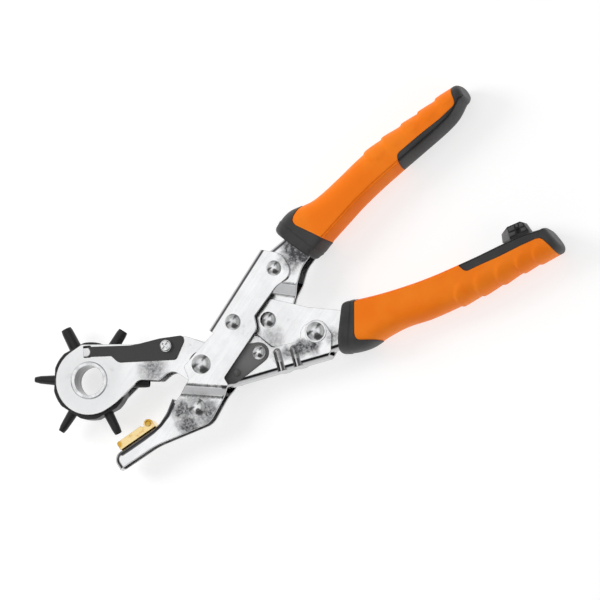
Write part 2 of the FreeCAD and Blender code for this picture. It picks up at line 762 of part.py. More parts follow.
def upper_handle_shank():
    """Folded channel into the upper grip; its end steps in between the other shank's plates."""
    outline = [
        (52.3, 26.2, 0),
        (64.0, 27.2, 20.0),
        (78.0, 29.4, 10.0),
        (112.0, 32.5, 0),
        (112.0, 22.5, 2.0),
        (82.0, 17.0, 10.0),
        (65.0, 11.2, 12.0),
        (51.0, -0.6, 10.0),
        (45.5, -6.6, 6.5),
        (30.8, -6.6, 6.6),
        (30.8, 5.0, 6.0),
        (46.0, 20.5, 4.0),
    ]
    direction = (TAIL_UP[0] - HANDLE_PIVOT[0], TAIL_UP[1])
    length = math.hypot(direction[0], direction[1])
    offset = HANDLE_PIVOT[0] * direction[0] / length
    start = offset + 12.6
    end = offset + 18.2
    outer = prism(outline, -BLANK_HALF, BLANK_HALF)
    outer = outer.common(side_profile(direction, step_points(
        UPPER_SHANK_TONGUE + SHEET, UPPER_SHANK_LEVEL + SHEET, start, end, SHANK_BEND)))

    def on_spine(middle):
        on_plate = abs(abs(middle.z) - UPPER_SHANK_LEVEL - SHEET) < 0.01
        return on_plate and 53.9 < middle.x < 111 and middle.y > 25.8

    outer = round_long_edges(outer, BEND, on_spine)
    inner = prism(plain([
        (20.0, -40.0),
        (120.0, -40.0),
        (120.0, 33.3 - SHEET),
        (112.0, 32.5 - SHEET),
        (78.0, 29.4 - SHEET),
        (64.0, 27.2 - SHEET),
        (54.0, 26.3 - SHEET),
        (54.0, 60.0),
        (20.0, 60.0),
    ]), -BLANK_HALF, BLANK_HALF)
    inner = inner.common(side_profile(direction, step_points(
        UPPER_SHANK_TONGUE, UPPER_SHANK_LEVEL, start + 0.6, end + 0.6, SHANK_BEND)))
    shank = outer.cut(inner)
    shank = shank.cut(disc(HANDLE_PIVOT, PIN_R + OPEN_PIVOT_GAP, -FAR, FAR))
    shank = shank.cut(disc(TAIL_UP, PIN_R + RUNNING_GAP, -FAR, FAR))
    return solid_of(shank)


# ---- grips -------------------------------------------------------------------------

UPPER_GRIP = [
    (64.0, 33.0, 2.5),
    (73.0, 37.6, 5.0),
    (88.0, 34.6, 20.0),
    (110.0, 39.4, 40.0),
    (173.2, 41.8, 3.0),
    (172.0, 31.0, 4.0),
    (158.0, 25.6, 20.0),
    (125.0, 22.4, 60.0),
    (78.0, 11.4, 3.0),
    (71.4, 12.2, 2.5),
]
UPPER_COLLAR = [(73.4, 60.0), (73.4, 31.0), (81.8, 14.0), (84.0, -10.0), (40.0, -10.0), (40.0, 60.0)]
UPPER_INLAY = [
    (133.0, 0.0),
    (132.6, 28.7),
    (169.7, 33.0),
    (171.2, 41.2),
    (190.0, 60.0),
    (190.0, 0.0),
]

LOWER_GRIP = [
    (74.6, -14.2, 2.0),
    (79.0, -16.6, 10.0),
    (100.0, -23.6, 60.0),
    (130.0, -31.0, 60.0),
    (170.5, -37.6, 4.0),
    (174.2, -54.4, 3.0),
    (145.0, -50.4, 30.0),
    (110.0, -46.4, 30.0),
    (88.0, -38.2, 20.0),
    (60.0, -37.0, 4.0),
    (58.6, -30.0, 2.0),
]
LOWER_COLLAR = [
    (79.6, 20.0),
    (78.8, -16.3),
    (69.2, -31.0),
    (70.2, -34.2),
    (84.0, -42.5),
    (84.0, -70.0),
    (40.0, -70.0),
    (40.0, 20.0),
]
LOWER_INLAY = [
    (129.0, 0.0),
    (129.3, -33.6),
    (133.5, -36.9),
    (169.0, -43.2),
    (171.0, -54.9),
    (190.0, -60.0),
    (190.0, 0.0),
]


def grip_body(outline):
    """Closed grip solid with rounded long edges."""
    body = prism(outline, -GRIP_HALF, GRIP_HALF)
    rims = [e for e in body.Edges if abs(abs(e.CenterOfMass.z) - GRIP_HALF) < 0.01]
    return body.makeFillet(GRIP_EDGE, rims)


def grip_parts(outline, collar_region, inlay_region, shank):
    """Orange shell, black collar and black inlay of one handle, cut from one body."""
    body = grip_body(outline).cut(filled_shank(shank))
    collar_space = prism(plain(collar_region), -FAR, FAR)
    inlay_space = prism(plain(inlay_region), -FAR, FAR)
    shell = body.cut(collar_space).cut(inlay_space)
    return solid_of(shell), solid_of(body.common(collar_space)), solid_of(body.common(inlay_space))


def filled_shank(shank):
    """The part of a shank inside its grip, with the hollow between its plates filled."""
    half = shank.BoundBox.ZMax
    plates = [f for f in shank.Faces if abs(f.CenterOfMass.z - half) < 0.01]
    plate = max(plates, key=lambda f: f.Area)
    filled = Part.Face(plate.OuterWire).extrude(V(0, 0, -2 * half)).fuse(shank)
    box = Part.makeBox(SHANK_END_X - GRIP_START_X, FAR, FAR, V(GRIP_START_X, -FAR / 2, -FAR / 2))
    return filled.common(box)


# ---- catch -------------------------------------------------------------------------

CATCH_OUTLINE = [
    (150.9, -33.0, 0.5),
    (152.6, -28.9, 1.0),
    (157.3, -28.1, 1.0),
    (164.2, -29.6, 0.8),
    (165.0, -35.6, 0.6),
    (162.8, -40.7, 2.3),
    (158.2, -40.7, 2.3),
]


def catch_body():
    """Ribbed thumb catch that swings on a pin in the lower handle's end."""
    body = prism(CATCH_OUTLINE, -CATCH_HALF, CATCH_HALF)
    for i in range(3):
        x = 156.4 + 2.6 * i
        groove = Part.makeBox(0.9, 2.4, 2.2 * CATCH_HALF, V(x, -30.2, -1.1 * CATCH_HALF))
        body = body.cut(groove)
    return solid_of(body.cut(disc(CATCH_PIN, CATCH_PIN_R + RUNNING_GAP, -FAR, FAR)))


def catch_room():
    """Space that the swinging catch needs in the handle's end."""
    return prism(plain([
        (149.9, -20.0),
        (167.0, -20.0),
        (167.0, -38.5),
        (163.9, -41.4),
        (157.1, -41.4),
        (149.9, -39.4),
    ]), -CATCH_ROOM_HALF, CATCH_ROOM_HALF)


def catch_pin():
    """Steel pin across the handle's end."""
    return solid_of(disc(CATCH_PIN, CATCH_PIN_R, -CATCH_PIN_HALF, CATCH_PIN_HALF))


# ---- assembly ----------------------------------------------------------------------

def build():
    """All nodes by name."""
    full = LOWER_LEVEL + SHEET
    upper_half = UPPER_LEVEL + SHEET
    nodes = {}
    nodes["lower_jaw_lever"] = lower_jaw_lever()
    nodes["upper_jaw_lever"] = upper_jaw_lever()
    nodes["anvil"] = anvil()
    nodes["anvil_rivets"] = anvil_rivets()
    nodes["side_plate_front"] = side_plate()
    nodes["side_plate_rear"] = mirror_z(side_plate())
    nodes["side_plate_studs"] = side_plate_studs()
    nodes["punch_wheel"] = punch_wheel()
    for index, size in enumerate(TUBE_HOLES):
        nodes["punch_tube_%d_%dmm" % (int(size), round(size * 10) % 10)] = punch_tube(index)
    nodes["hub_rivet"] = hub_rivet()
    nodes["index_leaf"] = index_leaf()
    nodes["leaf_screw"] = leaf_screw()
    nodes["leaf_screw_post"] = leaf_screw_post()
    nodes["return_spring"] = return_spring()

    nodes["jaw_pivot_rivet"] = rivet(JAW_PIVOT, JAW_PIN_R, JAW_HEAD_R, full)
    nodes["lower_jaw_rivet"] = rivet(SPACER_RIVET_JAW, PIN_R, SPACER_JAW_HEAD_R, JAW_LEVEL + SHEET)
    nodes["upper_tail_spacer_rivet"] = rivet(SPACER_RIVET_TAIL, PIN_R, 3.8, full)
    nodes["upper_tail_rivet"] = rivet(TAIL_UP, PIN_R, TAIL_HEAD_R, full)
    nodes["lower_tail_rivet"] = rivet(TAIL_DOWN, PIN_R, LOWER_TAIL_HEAD_R, upper_half + WASHER_THICK)
    nodes["lower_tail_washers"] = tail_washer()
    nodes["handle_pivot_rivet"] = rivet(HANDLE_PIVOT, PIN_R, 3.8, LOWER_SHANK_LEVEL + SHEET)
    nodes["side_plate_rivet"] = rivet(
        SIDE_PLATE_RIVET, PIN_R, 3.3, SIDE_PLATE_LEVEL + SIDE_PLATE_THICK)

    nodes["jaw_pivot_sleeve"] = sleeve(JAW_PIVOT, JAW_PIN_R + RUNNING_GAP, UPPER_LEVEL)
    nodes["lower_jaw_sleeve"] = sleeve(SPACER_RIVET_JAW, PIN_R, JAW_LEVEL)
    nodes["upper_tail_spacer_sleeve"] = sleeve(SPACER_RIVET_TAIL, PIN_R, LOWER_LEVEL)
    nodes["side_plate_sleeve"] = sleeve(SIDE_PLATE_RIVET, PIN_R, UPPER_LEVEL)
    nodes["upper_tail_sleeve"] = sleeve(TAIL_UP, PIN_R + RUNNING_GAP, UPPER_SHANK_LEVEL)
    nodes["lower_tail_sleeve"] = sleeve(TAIL_DOWN, PIN_R + RUNNING_GAP, LOWER_SHANK_LEVEL)
    nodes["handle_pivot_sleeve"] = sleeve(HANDLE_PIVOT, PIN_R, UPPER_SHANK_TONGUE - 0.1)

    nodes["upper_handle_shank"] = upper_handle_shank()
    nodes["lower_handle_shank"] = lower_handle_shank()
    shell, collar, inlay = grip_parts(
        UPPER_GRIP, UPPER_COLLAR, UPPER_INLAY, nodes["upper_handle_shank"])
    nodes["upper_grip"] = shell
    nodes["upper_grip_collar"] = collar
    nodes["upper_grip_inlay"] = inlay
    shell, collar, inlay = grip_parts(
        LOWER_GRIP, LOWER_COLLAR, LOWER_INLAY, nodes["lower_handle_shank"])
    nodes["lower_grip"] = shell
    nodes["lower_grip_collar"] = collar
    nodes["lower_grip_inlay"] = solid_of(inlay.cut(catch_room()).cut(catch_pin()))
    nodes["catch"] = catch_body()
    nodes["catch_pin"] = catch_pin()
    return nodes


def main():
    os.makedirs("parts", exist_ok=True)
    for name, shape in build().items():
        shape.translate(V(-WHEEL_X, -WHEEL_Y, 0))
        shape.exportStep(os.path.join("parts", name + ".step"))


main()
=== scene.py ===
import json
import math

import bmesh
import bpy
from mathutils import Matrix, Vector


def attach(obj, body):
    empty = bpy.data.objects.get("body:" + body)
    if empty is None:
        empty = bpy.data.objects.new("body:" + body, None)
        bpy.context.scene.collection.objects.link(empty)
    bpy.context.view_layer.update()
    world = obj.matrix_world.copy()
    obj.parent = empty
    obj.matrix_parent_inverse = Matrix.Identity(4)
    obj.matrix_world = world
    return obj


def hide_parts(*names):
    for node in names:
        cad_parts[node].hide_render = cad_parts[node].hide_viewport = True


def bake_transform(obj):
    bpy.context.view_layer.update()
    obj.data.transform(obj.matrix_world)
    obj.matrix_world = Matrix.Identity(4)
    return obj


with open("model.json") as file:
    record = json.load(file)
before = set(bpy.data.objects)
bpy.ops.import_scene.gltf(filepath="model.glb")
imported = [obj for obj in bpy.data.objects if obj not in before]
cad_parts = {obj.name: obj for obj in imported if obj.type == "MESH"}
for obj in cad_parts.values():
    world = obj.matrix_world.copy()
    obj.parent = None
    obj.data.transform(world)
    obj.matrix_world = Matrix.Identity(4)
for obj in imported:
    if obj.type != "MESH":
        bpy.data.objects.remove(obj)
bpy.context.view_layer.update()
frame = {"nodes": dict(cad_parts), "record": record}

MM = 0.001
# outlines and places below are in millimetres from the jaw pivot; the frame's origin is the wheel's hub
HUB_FROM_PIVOT = (-49.6, 24.9, 0.0)
PIVOT = -Vector(HUB_FROM_PIVOT) * MM

# ---- camera, light and floor -------------------------------------------------------

VIEW_RIGHT = Vector((0.8084, -0.5298, -0.2565))
VIEW_UP = Vector((0.5631, 0.8230, 0.0748))
VIEW_BACK = Vector((0.1715, -0.2049, 0.9637))
VIEW_WIDTH = 0.282
VIEW_SHIFT = (0.0443, 0.0308)   # from the jaw pivot to the picture's middle
CAMERA_DISTANCE = 0.7
FLOOR_Z = -0.01025
TENT_AXIS = Vector((-0.10, 0.22, 0.97)).normalized()
# dark wedges round the tent's axis: direction in degrees from +X, half width, depth
WEDGES = ((257.0, 36.0, 0.88), (156.0, 15.0, 0.85), (34.0, 13.0, 0.80))
# bright cards low round the tent: direction, cosine where they end and where they are full, radiance
CARDS = (((-0.80, -0.58, 0.13), 0.82, 0.95, 0.80), ((-0.45, 0.82, 0.28), 0.86, 0.95, 0.60))
# radiance of the tent against the cosine from its axis
TENT_STOPS = ((0.0, 0.62), (0.15, 0.42), (0.40, 0.22), (0.55, 0.45), (0.66, 0.55), (0.72, 0.34),
              (0.80, 0.45), (0.87, 0.80), (0.94, 0.92), (1.0, 0.97))
TENT_STRENGTH = 1.06
BACKDROP = 0.86          # what the camera itself sees past the floor
WEDGE_FADE = (4, 6)      # degrees outside and inside a wedge's edge over which it fades
FLOOR_CELLS = 24
FLOOR_HALF = 1.6
FLOOR_FLAT = 1.0         # reach of the flat middle
FLOOR_RISE = 0.35
# soft boxes: name, place, size, power
LIGHTS = (("key", (-0.45, 0.55, 0.60), 0.45, 6.0), ("fill", (0.75, -0.55, 0.5), 0.4, 1.0))
LIGHT_TARGET = (0.1, 0.0, 0.0)


def add_camera():
    """Orthographic camera at the tool's three-quarter view."""
    data = bpy.data.cameras.new("camera")
    data.type = "ORTHO"
    data.ortho_scale = VIEW_WIDTH
    camera = bpy.data.objects.new("camera", data)
    bpy.context.scene.collection.objects.link(camera)
    turn = Matrix((VIEW_RIGHT, VIEW_UP, VIEW_BACK)).transposed().to_4x4()
    place = PIVOT + VIEW_RIGHT * VIEW_SHIFT[0] + VIEW_UP * VIEW_SHIFT[1] + VIEW_BACK * CAMERA_DISTANCE
    camera.matrix_world = Matrix.Translation(place) @ turn
    bpy.context.scene.camera = camera


def add_area_light(name, place, target, size, power):
    """Square soft box that points at a target; the tent alone shows in reflections."""
    data = bpy.data.lights.new(name, "AREA")
    data.shape = "SQUARE"
    data.size = size
    data.energy = power
    light = bpy.data.objects.new(name, data)
    light.visible_glossy = False
    bpy.context.scene.collection.objects.link(light)
    aim = Vector(target) - Vector(place)
    light.matrix_world = Matrix.Translation(place) @ aim.to_track_quat("-Z", "Y").to_matrix().to_4x4()


def add_world():
    """White tent, bright overhead, with dark wedges round its axis and a dimmer belt below them."""
    world = bpy.data.worlds.new("studio")
    bpy.context.scene.world = world
    world.use_nodes = True
    s = Graph(world.node_tree)
    s.tree.nodes.clear()
    out = s.tree.nodes.new("ShaderNodeOutputWorld")
    background = s.tree.nodes.new("ShaderNodeBackground")
    toward = s.tree.nodes.new("ShaderNodeTexCoord").outputs["Generated"]
    tilt = s.vector_math("DOT_PRODUCT", toward, TENT_AXIS)
    ramp = s.tree.nodes.new("ShaderNodeValToRGB")
    elements = ramp.color_ramp.elements
    while len(elements) < len(TENT_STOPS):
        elements.new(0.5)
    for element, (place, value) in zip(elements, TENT_STOPS):
        element.position = place
        element.color = (value, value, value, 1)
    s.link(tilt, ramp.inputs[0])
    flat = s.vector_math("SUBTRACT", toward, s.scaled(TENT_AXIS, tilt))
    flat = s.vector_math("NORMALIZE", flat, (0, 0, 0))
    ring = s.math("MULTIPLY", s.span(tilt, 0.985, 0.95), s.span(tilt, 0.30, 0.5))
    light = 1.0
    for angle, half_width, depth in WEDGES:
        aim = Vector((math.cos(math.radians(angle)), math.sin(math.radians(angle)), 0))
        aim = (aim - TENT_AXIS * aim.dot(TENT_AXIS)).normalized()
        edge = (math.cos(math.radians(half_width + WEDGE_FADE[0])),
                math.cos(math.radians(half_width - WEDGE_FADE[1])))
        wedge = s.math("MULTIPLY", s.span(s.vector_math("DOT_PRODUCT", flat, aim), *edge), ring)
        light = s.math("MULTIPLY", light, s.span(wedge, 0.0, 1.0, 1.0, 1.0 - depth))
    colour = s.scaled(ramp.outputs[0], light)
    for aim, ends, full, level in CARDS:
        share = s.span(s.vector_math("DOT_PRODUCT", toward, Vector(aim).normalized()), ends, full)
        colour = s.mix(share, colour, (level, level, level))
    camera_ray = s.tree.nodes.new("ShaderNodeLightPath").outputs["Is Camera Ray"]
    s.link(s.mix(camera_ray, colour, (BACKDROP, BACKDROP, BACKDROP)), background.inputs["Color"])
    background.inputs["Strength"].default_value = TENT_STRENGTH
    s.link(background.outputs[0], out.inputs[0])


def add_floor():
    """Large pale floor under the tool, dished up far away so that it has no edge."""
    mesh = bpy.data.meshes.new("floor")
    bm = bmesh.new()
    bmesh.ops.create_grid(bm, x_segments=FLOOR_CELLS, y_segments=FLOOR_CELLS, size=FLOOR_HALF)
    for vert in bm.verts:
        reach = vert.co.xy.length
        vert.co.z = FLOOR_Z + FLOOR_RISE * max(0.0, reach - FLOOR_FLAT) ** 2
    bm.to_mesh(mesh)
    bm.free()
    floor = bpy.data.objects.new("floor", mesh)
    bpy.context.scene.collection.objects.link(floor)
    floor.data.materials.append(floor_material())
    smooth(floor, 180)


# ---- material helpers --------------------------------------------------------------

class Graph:
    """Short calls that add and link the nodes of one node tree."""

    def __init__(self, tree):
        self.tree = tree

    def link(self, source, target):
        self.tree.links.new(source, target)

    def put(self, value, socket):
        if isinstance(value, bpy.types.NodeSocket):
            self.link(value, socket)
        else:
            socket.default_value = value

    def vector_math(self, operation, a, b):
        node = self.tree.nodes.new("ShaderNodeVectorMath")
        node.operation = operation
        self.put(a, node.inputs[0])
        self.put(b, node.inputs[1])
        return node.outputs["Value" if operation in ("DISTANCE", "DOT_PRODUCT") else "Vector"]

    def scaled(self, vector, factor):
        node = self.tree.nodes.new("ShaderNodeVectorMath")
        node.operation = "SCALE"
        self.put(vector, node.inputs[0])
        self.put(factor, node.inputs["Scale"])
        return node.outputs["Vector"]

    def math(self, operation, a, b=0.0, c=0.0):
        node = self.tree.nodes.new("ShaderNodeMath")
        node.operation = operation
        self.put(a, node.inputs[0])
        self.put(b, node.inputs[1])
        self.put(c, node.inputs[2])
        return node.outputs[0]

    def span(self, value, low, high, to_low=0.0, to_high=1.0):
        """Map a value's range to another, clamped."""
        node = self.tree.nodes.new("ShaderNodeMapRange")
        node.interpolation_type = "SMOOTHSTEP"
        self.put(value, node.inputs["Value"])
        node.inputs["From Min"].default_value = low
        node.inputs["From Max"].default_value = high
        node.inputs["To Min"].default_value = to_low
        node.inputs["To Max"].default_value = to_high
        return node.outputs["Result"]

    def mix(self, share, first, second):
        node = self.tree.nodes.new("ShaderNodeMix")
        node.data_type = "RGBA"
        self.put(share, node.inputs[0])
        self._mix_in(node, 6, first)
        self._mix_in(node, 7, second)
        return node.outputs[2]

    def _mix_in(self, node, index, value):
        if isinstance(value, bpy.types.NodeSocket):
            self.link(value, node.inputs[index])
        else:
            node.inputs[index].default_value = tuple(value) + (1.0,)


class Shader(Graph):
    """One procedural material with its coordinates in millimetres of the tool's frame."""

    def __init__(self, name, round_mm=0.0):
        self.material = bpy.data.materials.new(name)
        self.material.use_nodes = True
        super().__init__(self.material.node_tree)
        self.tree.nodes.clear()
        self.out = self.tree.nodes.new("ShaderNodeOutputMaterial")
        self.bsdf = self.tree.nodes.new("ShaderNodeBsdfPrincipled")
        self.link(self.bsdf.outputs[0], self.out.inputs[0])
        coords = self.tree.nodes.new("ShaderNodeTexCoord")
        self.mm = self.vector_math("ADD", self.scaled(coords.outputs["Object"], 1.0 / MM), HUB_FROM_PIVOT)
        self.normal = None
        self.geometry = self.tree.nodes.new("ShaderNodeNewGeometry")
        if round_mm:
            rounding = self.tree.nodes.new("ShaderNodeBevel")
            rounding.samples = 6
            rounding.inputs["Radius"].default_value = round_mm * MM
            self.set_normal(rounding.outputs[0])

    def set_normal(self, socket):
        self.normal = socket
        self.link(socket, self.bsdf.inputs["Normal"])

    def edge(self):
        """1 right at a sharp edge, 0 away from it; only for a material with rounded edges."""
        same = self.vector_math("DOT_PRODUCT", self.normal, self.geometry.outputs["True Normal"])
        return self.span(same, 0.99, 0.80)

    def facing_up(self):
        """1 on faces of the plates' planes, 0 on faces square to them."""
        up = self.vector_math("DOT_PRODUCT", self.geometry.outputs["Normal"], (0, 0, 1))
        return self.math("ABSOLUTE", up)

    def stretched(self, scale, turn_deg=0.0):
        """Coordinates turned about Z, then scaled by axis."""
        node = self.tree.nodes.new("ShaderNodeMapping")
        node.vector_type = "TEXTURE"
        node.inputs["Rotation"].default_value = (0, 0, math.radians(turn_deg))
        node.inputs["Scale"].default_value = tuple(1.0 / s for s in scale)
        self.link(self.mm, node.inputs["Vector"])
        return node.outputs[0]

    def noise(self, size, detail=3.0, rough=0.5, coords=None):
        """Noise whose lumps are about size millimetres."""
        node = self.tree.nodes.new("ShaderNodeTexNoise")
        node.inputs["Scale"].default_value = 1.0 / size
        node.inputs["Detail"].default_value = detail
        node.inputs["Roughness"].default_value = rough
        self.link(coords or self.mm, node.inputs["Vector"])
        return node.outputs["Fac"]

    def spots(self, size, coords=None):
        """Distance to the nearest of scattered points, about size millimetres apart."""
        node = self.tree.nodes.new("ShaderNodeTexVoronoi")
        node.inputs["Scale"].default_value = 1.0 / size
        self.link(coords or self.mm, node.inputs["Vector"])
        return node.outputs["Distance"]

    def near(self, place, radius, feather, coords=None):
        """1 inside a ball round a place, falling to 0 over the feather."""
        distance = self.vector_math("DISTANCE", coords or self.mm, place)
        return self.span(distance, radius + feather, radius)

    def near_line(self, points, level, radius, feather):
        """1 along a line through (x, y) points at one height, falling to 0 over the feather."""
        best = None
        for a, b in zip(points, points[1:]):
            start = (*a, level)
            span = Vector((b[0] - a[0], b[1] - a[1], 0.0))
            offset = self.vector_math("SUBTRACT", self.mm, start)
            reach = self.vector_math("DOT_PRODUCT", offset, tuple(span / span.length_squared))
            reach = self.math("MINIMUM", self.math("MAXIMUM", reach, 0.0), 1.0)
            distance = self.vector_math("DISTANCE", offset, self.scaled(tuple(span), reach))
            best = distance if best is None else self.math("MINIMUM", best, distance)
        return self.span(best, radius + feather, radius)

    def near_axis(self, place, radius, feather):
        """1 inside a cylinder along Z round a place (x, y), falling to 0 over the feather."""
        flat = self.vector_math("MULTIPLY", self.mm, (1, 1, 0))
        return self.near(place + (0.0,), radius, feather, flat)

    def warped(self, size, reach):
        """Coordinates shaken by noise, for ragged outlines."""
        node = self.tree.nodes.new("ShaderNodeTexNoise")
        node.inputs["Scale"].default_value = 1.0 / size
        node.inputs["Detail"].default_value = 4.0
        self.link(self.mm, node.inputs["Vector"])
        shift = self.vector_math("SUBTRACT", node.outputs["Color"], (0.5, 0.5, 0.5))
        return self.vector_math("ADD", self.mm, self.scaled(shift, reach))

    def bump(self, height, distance):
        """Stack a bump of a height field, in millimetres, onto the surface."""
        node = self.tree.nodes.new("ShaderNodeBump")
        node.inputs["Distance"].default_value = distance * MM
        self.link(height, node.inputs["Height"])
        if self.normal:
            self.link(self.normal, node.inputs["Normal"])
        self.set_normal(node.outputs[0])

    def set(self, **values):
        for name, value in values.items():
            socket = self.bsdf.inputs[name.replace("_", " ")]
            if isinstance(value, tuple):
                value = value + (1.0,)
            self.put(value, socket)


# ---- materials ---------------------------------------------------------------------

# dull, mottled stretches of the plating, whose colour is darkened as painted dark reflection: place, radius,
# feather in millimetres, strength
DULL_AND_DARK_REFLECTION_PLACES = (
    ((-20.5, -12.0, 4.2), 1.5, 6.0, 1.05),
    ((-21.5, -20.0, 4.2), 2.0, 7.0, 1.05),
    ((-10.5, -20.0, 4.2), 1.5, 7.5, 0.95),
    ((-14.5, -16.0, 4.2), 6.5, 5.0, 0.55),
    ((-9.0, -12.0, 5.0), 0.5, 6.0, 0.45),
    ((69.5, 20.0, 6.4), 4.0, 8.0, 1.35),
    ((63.0, 16.5, 6.4), 1.0, 7.0, 1.0),
    ((34.4, -8.2, 4.0), 1.0, 8.0, 0.50),
    ((28.5, -3.5, 4.0), 0.5, 6.0, 0.45),
    ((43.5, -20.3, 6.3), 1.5, 4.5, 1.1),
    ((49.0, -22.8, 6.3), 1.5, 4.5, 1.1),
    ((37.1, -18.8, 6.3), 1.0, 4.0, 0.9),
    ((31.8, -16.9, 6.3), 0.5, 3.5, 0.7),
    ((-21.0, 11.5, 6.3), 1.0, 9.0, 0.80),
    ((60.0, -25.0, 4.0), 1.0, 5.0, 0.6),
)
# where the painted shade in the plates' bends is lifted: place, radius, share of that painted shade that is
# kept
STEP_PLACES = (
    ((-7.6, -9.8, 7.0), 10.5, 0.0),
    ((51.5, 6.0, 4.0), 9.5, 0.0),
    ((33.6, -16.6, 6.5), 3.6, 0.35),
    ((41.0, -19.6, 6.5), 3.6, 0.35),
)
# painted shade: dark band just inside the lower jaw's throat edge: (x, y) points, and their height
THROAT_BAND = ((-55.6, -13.1), (-51.1, -13.2), (-43.4, -13.2), (-37.4, -13.0),
               (-32.4, -12.1), (-27.3, -10.5), (-22.0, -7.4))
THROAT_LEVEL = 4.2
HUB_AXIS = (-49.6, 24.9)
HUB_BORE_R = 7.0


def plated_material(name, bright):
    """Bright plating: fine brushing, a faint cloud, mottled dull stretches darkened as painted dark
    reflection, and painted shade round the hub, on faces turned from the plates' planes, in the folds, along
    the throat and at the edges.
    """
    s = Shader(name, 0.35)
    cloud = s.noise(14.0, 4.0, 0.62)
    grain = s.noise(0.5, 2.0, 0.6)
    mottle = s.noise(1.5, 5.0, 0.78)
    lanes = s.noise(1.6, 3.0, 0.6, s.stretched((0.05, 1.0, 1.0), 22.0))
    ragged = s.warped(5.0, 6.0)
    patch_mottle = s.span(mottle, 0.36, 0.62)
    dull_and_dark_reflection = s.span(cloud, 0.64, 0.80, 0.0, 0.35)
    for place, radius, feather, strength in DULL_AND_DARK_REFLECTION_PLACES:
        dull_and_dark_reflection = s.math("MAXIMUM", dull_and_dark_reflection, s.math("MULTIPLY", s.near(place, radius, feather, ragged), strength))
    dull_and_dark_reflection = s.math("MULTIPLY", dull_and_dark_reflection, s.math("MULTIPLY_ADD", patch_mottle, 0.52, 0.50))
    dull_and_dark_reflection = s.math("MINIMUM", dull_and_dark_reflection, 1.0)
    tint = s.mix(s.span(lanes, 0.3, 0.7), tuple(0.95 * c for c in bright), bright)
    tint = s.mix(s.span(cloud, 0.35, 0.65, 0.0, 0.12), tint, (0.55, 0.55, 0.56))
    # painted shade: the plating is darker round the hub
    tint = s.mix(s.near_axis(HUB_AXIS, 10.0, 16.0), tint, tuple(0.86 * c for c in bright))
    # painted dark reflection: the dull stretches are darkened almost to black
    tint = s.mix(dull_and_dark_reflection, tint, (0.085, 0.085, 0.09))
    up = s.facing_up()
    steep_shade = s.span(up, 0.90, 0.78)
    bend_shade = s.math("MULTIPLY", s.span(up, 0.76, 0.88), s.span(up, 0.9995, 0.985))
    for place, radius, keep in STEP_PLACES:
        near = s.near(place, radius, 1.0)
        bend_shade = s.math("MULTIPLY", bend_shade, s.span(near, 0.0, 1.0, 1.0, keep))
    # painted shade: faces turned away from the plates' planes are greyer
    tint = s.mix(s.math("MULTIPLY", steep_shade, 0.8), tint, (0.44, 0.44, 0.45))
    # painted shade: the rounded bends of the plates are darkened
    tint = s.mix(s.math("MULTIPLY", bend_shade, 0.9), tint, (0.05, 0.05, 0.055))
    # painted shade along the throat edge
    throat_shade = s.near_line(THROAT_BAND, THROAT_LEVEL, 0.55, 0.4)
    tint = s.mix(s.math("MULTIPLY", throat_shade, 0.93), tint, (0.035, 0.035, 0.04))
    # painted shade along the sharp edges
    tint = s.mix(s.math("MULTIPLY", s.edge(), 0.65), tint, (0.06, 0.06, 0.065))
    s.set(Metallic=1.0)
    s.set(Base_Color=tint)
    rough = s.span(cloud, 0.3, 0.7, 0.14, 0.22)
    s.set(Roughness=s.math("MULTIPLY_ADD", dull_and_dark_reflection, 0.22, rough))
    s.bump(lanes, 0.010)
    s.bump(grain, 0.006)
    s.bump(cloud, 0.25)
    return s.material


def plated_hardware_material():
    """Brighter turned plating of rivets and screws, with painted shade along the sharp edges; the hub
    rivet's bore wall is ringed and painted dark as shade.
    """
    s = Shader("plated_hardware", 0.2)
    cloud = s.noise(3.0, 4.0, 0.6)
    grain = s.noise(0.35, 2.0, 0.6)
    rings = s.noise(0.9, 2.0, 0.5, s.stretched((0.02, 0.02, 1.0)))
    # painted shade inside the hub rivet's bore; the rings on its wall are real
    bore = s.math("MULTIPLY", s.near_axis(HUB_AXIS, HUB_BORE_R + 0.15, 0.1), s.span(s.facing_up(), 0.7, 0.3))
    steel = s.mix(s.span(cloud, 0.35, 0.7), (0.84, 0.845, 0.855), (0.66, 0.665, 0.675))
    # painted shade along the sharp edges
    steel = s.mix(s.math("MULTIPLY", s.edge(), 0.6), steel, (0.08, 0.08, 0.085))
    shaded_bore_wall = s.mix(s.span(rings, 0.42, 0.58), (0.03, 0.03, 0.032), (0.16, 0.16, 0.165))
    s.set(Metallic=1.0)
    s.set(Base_Color=s.mix(bore, steel, shaded_bore_wall))
    s.set(Roughness=s.span(cloud, 0.3, 0.7, 0.12, 0.22))
    s.bump(grain, 0.006)
    s.bump(rings, 0.02)
    return s.material


def plain_steel_material():
    """Bare steel with turning marks and a little oil."""
    s = Shader("plain_steel")
    cloud = s.noise(5.0, 4.0, 0.6)
    rings = s.noise(0.5, 2.0, 0.5, s.stretched((1.0, 1.0, 4.0)))
    s.set(Metallic=1.0)
    s.set(Base_Color=s.mix(cloud, (0.42, 0.42, 0.43), (0.62, 0.62, 0.62)))
    s.set(Roughness=s.span(cloud, 0.3, 0.7, 0.25, 0.42))
    s.bump(rings, 0.02)
    return s.material


